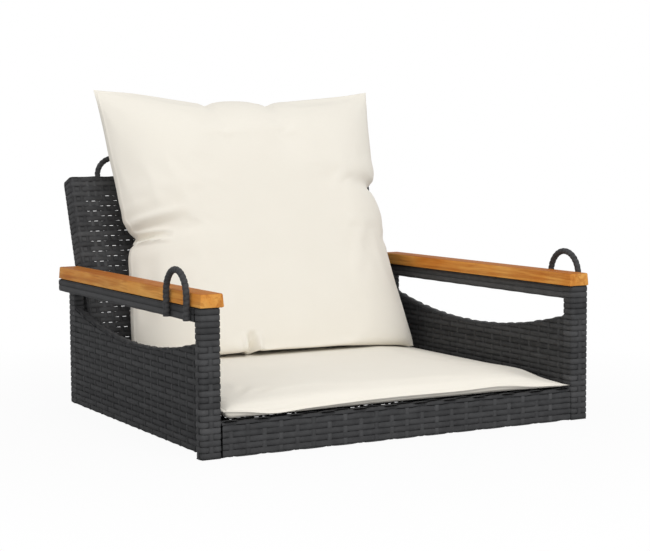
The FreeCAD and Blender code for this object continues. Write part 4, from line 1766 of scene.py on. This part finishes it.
    def hand_over(self, finish: Finish) -> list[Piece]:
        """Smooth the cushion and hand it to the frame.

        Args:
            finish: its material.

        Returns:
            The piece.
        """
        close_and_smooth(self.piece, SOFT)
        return [self.job.adopt(self.piece, finish)]


@dataclass
class SeatPad:
    """The thin seat cushion: knife edge, soft crown, flat on the seat, pointed front corners."""

    finish: Finish
    filling: Filling = Filling(pressure=0.5, most=0.0008, fill=0.5)
    draw: float = 0.006
    tip: float = 0.006
    crown_share: float = 0.86
    under_reach: float = 0.0050
    under_power: float = 1.3
    draw_bulge: tuple[float, float] = (2, 0.8)
    front_share: float = 0.5
    side_power: int = 3
    squares: tuple[int, int] = (100, 90)
    end_rise: Knots = (
        (0.0, 0.0), (0.0022, 0.13), (0.0045, 0.29), (0.0075, 0.45), (0.012, 0.62), (0.020, 0.76),
        (0.035, 0.87), (0.065, 0.95), (0.12, 1.0), (0.24, 1.0))
    right_rise: Knots = (
        (0.0, 0.0), (0.004, 0.11), (0.010, 0.21), (0.022, 0.34), (0.038, 0.52), (0.054, 0.71),
        (0.075, 0.89), (0.10, 0.97), (0.14, 1.0), (0.28, 1.0))
    front_seam: Knots = (
        (-0.268, 0.0600), (-0.240, 0.0570), (-0.204, 0.0520), (-0.150, 0.0540), (-0.034, 0.0573),
        (0.087, 0.0571), (0.178, 0.0578), (0.206, 0.0545), (0.268, 0.0517))
    side_seam: Knots = (
        (-0.3055, 0.0517), (-0.275, 0.0545), (-0.225, 0.0610), (-0.100, 0.0620), (0.1565, 0.0600))
    rear_seam: float = 0.060
    look_from: float = 0.1
    stitching: Triple = (0.0042, 0.0007, 0.0012)
    piece: Piece | None = None

    def tops(self, places: np.ndarray) -> np.ndarray:
        """Height of the finished pad's upper face.

        Args:
            places: points over or beside the pad.

        Returns:
            The face's height under each point, or the pad's foot where there is no pad.
        """
        tree = BVHTree.FromObject(self.piece, bpy.context.evaluated_depsgraph_get())
        low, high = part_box("seat_cushion")
        above = high.z + self.look_from
        hits = (tree.ray_cast(Vector((x, y, above)), -Z_AXIS)[0] for x, y in places[:, :2])
        return np.array([low.z if hit is None else hit.z for hit in hits])

    def build(self) -> list[Piece]:
        """Shape the pad, fill it and hand it over.

        Returns:
            The piece.
        """
        low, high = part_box("seat_cushion")
        job = Job("seat_pad", "seat_cushion", slot=Slot.FABRIC, body=Body.SEAT_CUSHION)
        cushion = Cushion(job, *self.squares)
        s, t = cushion.s, cushion.t
        middle, half = (low + high) / 2, (high - low) / 2
        x = middle.x + (half.x + self.tip) * s - (self.draw + self.tip) * s * bulge(t, *self.draw_bulge)
        y = middle.y + half.y * t - self.draw * t * bulge(s, *self.draw_bulge)
        front = curve_through(self.front_seam, x)
        sides = curve_through(self.side_seam, y)
        back = ease((t + 1.0) / self.front_share)
        beside = np.abs(s) ** self.side_power
        level = front * (1.0 - back) + (sides * beside + self.rear_seam * (1.0 - beside)) * back
        inside = np.stack([(1.0 - np.abs(s)) * half.x, (1.0 - np.abs(t)) * half.y])
        left, right = (curve_through(rise, inside[0]) for rise in (self.end_rise, self.right_rise))
        flank = np.where(s < 0.0, left, right)
        swell = flank * curve_through(self.end_rise, inside[1])
        settle = np.prod(1.0 - np.exp(-(inside / self.under_reach) ** self.under_power), axis=0)
        top = level + (low.z + (high.z - low.z) * self.crown_share - level) * swell
        bottom = level - (level - low.z) * settle
        z = np.where(cushion.rim, level, np.where(cushion.upper, top, bottom))
        cushion.sew(np.stack([x, y, z], 1))
        cushion.fill(self.filling)
        cushion.refine()
        points = points_of(cushion.piece)
        points[:, 2] = np.clip(points[:, 2], low.z, None)
        start = (low.z + high.z) / 2
        over = points[:, 2] > start
        reach = points[:, 2].max() - start
        points[over, 2] = start + (points[over, 2] - start) * (high.z - start) / reach
        move_points(cushion.piece, points)
        cushion.stitch(*self.stitching)
        self.piece = cushion.piece
        return cushion.hand_over(self.finish)


@dataclass
class BackPillow:
    """The thick back cushion: ears at its upper corners, drawn-in sides, a sagged foot and a few folds."""

    finish: Finish
    back: LeaningBack
    pad: SeatPad
    filling: Filling = Filling(pressure=0.8, most=0.006, fill=0.75)
    seam_depth: float = 0.0953
    rear_depth: float = 0.0255
    left_edge: Knots = (
        (-0.02, -0.236), (0.034, -0.232), (0.100, -0.224), (0.134, -0.2210), (0.161, -0.2175),
        (0.174, -0.2115), (0.184, -0.2000), (0.200, -0.2125), (0.242, -0.2205), (0.270, -0.222),
        (0.329, -0.227), (0.369, -0.230), (0.429, -0.238))
    right_edge: Knots = (
        (-0.02, 0.256), (0.042, 0.247), (0.094, 0.238), (0.142, 0.2335), (0.171, 0.2315), (0.208, 0.2345),
        (0.235, 0.228), (0.256, 0.2175), (0.268, 0.2300), (0.306, 0.236), (0.374, 0.243), (0.429, 0.252))
    top_edge: Knots = (
        (-0.238, 0.4285), (-0.181, 0.423), (-0.110, 0.412), (-0.074, 0.4065), (-0.055, 0.4025),
        (-0.037, 0.4075), (-0.006, 0.410), (0.029, 0.408), (0.054, 0.4025), (0.076, 0.408),
        (0.120, 0.412), (0.182, 0.418), (0.252, 0.4285))
    bottom_edge: Knots = (
        (-0.238, -0.010), (-0.150, -0.004), (-0.030, 0.0), (0.080, -0.002), (0.170, -0.008),
        (0.252, -0.014))
    top_bulge: tuple[float, float] = (4, 0.75)
    foot_bulge: tuple[float, float] = (10, 0.5)
    side_bulge: tuple[float, float] = (4, 0.7)
    squares: tuple[int, int] = (96, 124)
    front_swell: float = 0.066
    fullest: float = 0.0697
    rear_swell: float = 0.080
    sag: float = 0.042
    sag_place: float = -0.86
    sag_width: float = 0.22
    face_depth: float = 0.012
    stitching: Triple = (0.0048, 0.0007, 0.0014)
    clearance: float = 0.0006
    folds: tuple[Fold, ...] = (
        Fold((-0.206, 0.1830), (-0.166, 0.177), 0.024, 0.0042),
        Fold((-0.205, 0.194), (-0.136, 0.200), 0.009, 0.0075),
        Fold((-0.215, 0.214), (-0.150, 0.224), 0.003, 0.0085),
        Fold((0.226, 0.256), (0.200, 0.254), 0.007, 0.006),
        Fold((-0.068, -0.030), (-0.066, 0.016), 0.028, 0.0060),
        Fold((-0.055, 0.405), (-0.058, 0.380), 0.006, 0.006),
        Fold((0.054, 0.405), (0.052, 0.382), 0.006, 0.006),
        Fold((0.238, 0.168), (0.205, 0.160), 0.004, 0.007),
    )

    def build(self) -> list[Piece]:
        """Shape the pillow upright, fill it, fold it, lean it and hand it over.

        Returns:
            The piece.
        """
        job = Job("back_pillow", "back_cushion", slot=Slot.FABRIC, body=Body.BACK_CUSHION)
        cushion = Cushion(job, *self.squares)
        s, t = cushion.s, cushion.t
        side_share, rise_share = (s + 1.0) / 2, (t + 1.0) / 2
        guess = np.interp(side_share, [0.0, 1.0], [self.top_edge[0][0], self.top_edge[-1][0]])
        foot = curve_through(self.bottom_edge, guess)
        z = foot + (curve_through(self.top_edge, guess) - foot) * rise_share
        left, right = curve_through(self.left_edge, z), curve_through(self.right_edge, z)
        x = left + (right - left) * side_share
        rise = np.where(t > 0.0, bulge(t, *self.top_bulge), bulge(t, *self.foot_bulge))
        lobe = bulge(s, *self.side_bulge) * rise
        y = -self.seam_depth + np.where(cushion.upper, -self.front_swell, self.rear_swell) * lobe
        droop = self.sag * np.exp(-((t - self.sag_place) / self.sag_width) ** 2) * lobe
        z = z - np.where(cushion.upper, droop, 0.0)
        cushion.sew(np.stack([x, np.minimum(y, -self.rear_depth), z], 1))
        cushion.fill(self.filling)
        cushion.refine()
        points = points_of(cushion.piece)
        ahead = -self.seam_depth - points[:, 1]
        full = -self.seam_depth - ahead * self.fullest / ahead.max()
        points[:, 1] = np.where(ahead > 0.0, full, points[:, 1])
        move_points(cushion.piece, points)
        face = ease((-self.seam_depth - points[:, 1] + self.face_depth) / self.face_depth)
        cushion.press(points[:, [0, 2]], np.array(Y_AXIS), self.folds, face)
        cushion.stitch(*self.stitching)
        points = points_of(cushion.piece)
        points[:, 1] = np.minimum(points[:, 1], -self.rear_depth)
        points = self.back.leaned(points)
        points[:, 2] = np.maximum(points[:, 2], self.pad.tops(points) + self.clearance)
        move_points(cushion.piece, points)
        return cushion.hand_over(self.finish)


@dataclass
class FrameFittings:
    """Finishes for the tubes, rods, caps and fasteners that stay as the frame has them."""

    tube: CoatFinish = CoatFinish("powder_coat", (0.022, 0.022, 0.024, 1.0), (0.045, 0.045, 0.046, 1.0), 0.5)
    cap: CoatFinish = CoatFinish("moulded_cap", (0.018, 0.018, 0.019, 1.0), (0.034, 0.034, 0.034, 1.0), 0.58)
    zinc: ZincFinish = ZincFinish()
    cap_inset: float = 0.0016
    cap_chamfer: float = 0.0008

    def foot_caps(self, job: Job) -> Piece:
        """Mould the caps under the front posts, a little inside the weave.

        Args:
            job: the piece to make.

        Returns:
            Both caps as one piece.
        """
        caps = []
        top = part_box(job.node)[1].z
        for side in ("left", "right"):
            low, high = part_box(side + "_front_post_wrap")
            inner_low, inner_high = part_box(side + "_front_post_tube")
            wall = Vector((self.cap_inset, self.cap_inset, 0.0))
            spans = ((low + wall, high - wall, 0.0, low.z), (inner_low + wall, inner_high - wall, low.z, top))
            for corner, far, foot, head in spans:
                caps.append(block(Vector((corner.x, corner.y, foot)), Vector((far.x, far.y, head))))
                chamfer(caps[-1], self.cap_chamfer)
        return finished(job.name, caps, SHARP)

    def dress(self, finishes: dict[Slot, Finish]) -> list[Piece]:
        """Give every solid of the frame its slot's finish.

        Args:
            finishes: finishes of the slots that new pieces share.

        Returns:
            The foot caps, which are modelled anew.
        """
        coat, cap, zinc = self.tube.material(), self.cap.material(), self.zinc.material()
        own = {Slot.TUBE: coat, Slot.ROD: coat, Slot.CAP: cap, Slot.ZINC: zinc}
        finishes = {slot.value: finish for slot, finish in {**own, **finishes}.items()}
        for part in frame["record"]["subparts"]:
            node = frame["nodes"][part["node"]]
            if not node.material_slots:
                node.data.materials.append(finishes[part["material_slot"]])
            for slot in node.material_slots:
                slot.material = finishes[part["material_slot"]]
        job = Job("moulded_foot_caps", "foot_caps", slot=Slot.CAP)
        return [job.adopt(self.foot_caps(job), cap)]


@dataclass
class Studio:
    """Pale floor, white surroundings, soft lamps and the camera."""

    floor_size: float = 40.0
    floor_drop: float = 0.0004
    floor_colour: Colour = (0.60, 0.60, 0.60, 1.0)
    floor_glow: float = 0.93
    floor_roughness: float = 0.9
    floor_reach: float = 0.9
    ambient: float = 0.69
    key_place: Triple = (-0.4, -2.8, 2.5)
    key_power: float = 61.0
    key_size: float = 2.4
    fill_place: Triple = (-3.0, -1.6, 1.6)
    fill_power: float = 6.0
    fill_size: float = 2.0
    aim: Triple = (0.0, 0.0, 0.2)
    eye: Triple = (-1.13653, -2.14720, 0.405816)
    yaw: float = math.radians(28.761)
    pitch: float = math.radians(-4.844)
    roll: float = math.radians(-0.322)
    lens: float = 89.299
    sensor: float = 36.0
    sight: float = 100.0

    def floor(self) -> None:
        """Lay the floor, which keeps a faint shadow."""
        deselect()
        bpy.ops.mesh.primitive_plane_add(size=self.floor_size, location=(0.0, 0.0, -self.floor_drop))
        floor = bpy.context.object
        floor.name = "studio_floor"
        board = NodeBoard("studio_floor")
        across, deep, _ = board.parts(board.places())
        far = ((across * across + deep * deep) * (1.0 / self.floor_reach ** 2)).at_most(1.0)
        share = board.seen() * (self.floor_glow + (1.0 - self.floor_glow) * far)
        board.mix(share, board.node("ShaderNodeEmission", {}, {"Color": WHITE, "Strength": 1.0}))
        floor.data.materials.append(board.dress({
            "Base Color": self.floor_colour,
            "Roughness": self.floor_roughness,
            "Specular IOR Level": 0.0,
        }))

    def surroundings(self) -> None:
        """Make the world white to look at and softer as a light."""
        board = NodeBoard("studio", world=True)
        board.mix(board.seen(), board.node("ShaderNodeBackground", {}, {"Color": WHITE, "Strength": 1.0}))
        bpy.context.scene.world = board.dress({"Color": WHITE, "Strength": self.ambient})

    def lamp(self, name: str, place: Sequence[float], power: float, size: float) -> None:
        """Hang a soft square lamp that looks at the bench.

        Args:
            name: the lamp's name.
            place: where it hangs.
            power: its power in watts.
            size: its width.
        """
        deselect()
        turn = (Vector(self.aim) - Vector(place)).to_track_quat("-Z", "Y").to_euler()
        bpy.ops.object.light_add(type="AREA", location=place, rotation=turn)
        lamp = bpy.context.object
        lamp.name = name
        lamp.data.energy = power
        lamp.data.size = size

    def camera(self) -> None:
        """Set the camera at the photograph's place."""
        ahead = math.cos(self.pitch)
        forward = Vector((math.sin(self.yaw) * ahead, math.cos(self.yaw) * ahead, math.sin(self.pitch)))
        level = forward.cross(Z_AXIS).normalized()
        above = level.cross(forward)
        right = level * math.cos(self.roll) + above * math.sin(self.roll)
        up = above * math.cos(self.roll) - level * math.sin(self.roll)
        deselect()
        bpy.ops.object.camera_add()
        camera = bpy.context.object
        camera.name = "photo_camera"
        turn = Matrix((right, up, -forward)).transposed().to_4x4()
        camera.matrix_world = Matrix.Translation(Vector(self.eye)) @ turn
        camera.data.sensor_width = self.sensor
        camera.data.lens = self.lens
        camera.data.clip_end = self.sight
        bpy.context.scene.camera = camera

    def build(self) -> None:
        """Set up the whole studio."""
        bpy.context.scene.view_settings.view_transform = "Standard"
        self.camera()
        self.floor()
        self.surroundings()
        self.lamp("key_lamp", self.key_place, self.key_power, self.key_size)
        self.lamp("fill_lamp", self.fill_place, self.fill_power, self.fill_size)


def main() -> None:
    """Build and dress the bench in order and report each piece."""
    logging.basicConfig(level=logging.INFO, format="%(message)s")
    strands, wood, cloth = StrandFinish().material(), WoodFinish().material(), ClothFinish().material()
    Studio().build()
    shared = {Slot.WEAVE: strands, Slot.LOOP_WRAP: strands, Slot.WOOD: wood, Slot.FABRIC: cloth}
    for piece in FrameFittings().dress(shared):
        LOG.info("FrameFittings: %s, %d faces", piece.name, len(piece.data.polygons))
    back, pad = LeaningBack(strands), SeatPad(cloth)
    for assembly in (ArmSide(strands, wood), SeatFrame(strands), back, pad, BackPillow(cloth, back, pad)):
        for piece in assembly.build():
            LOG.info("%s: %s, %d faces", type(assembly).__name__, piece.name, len(piece.data.polygons))


if __name__ == "__main__":
    main()
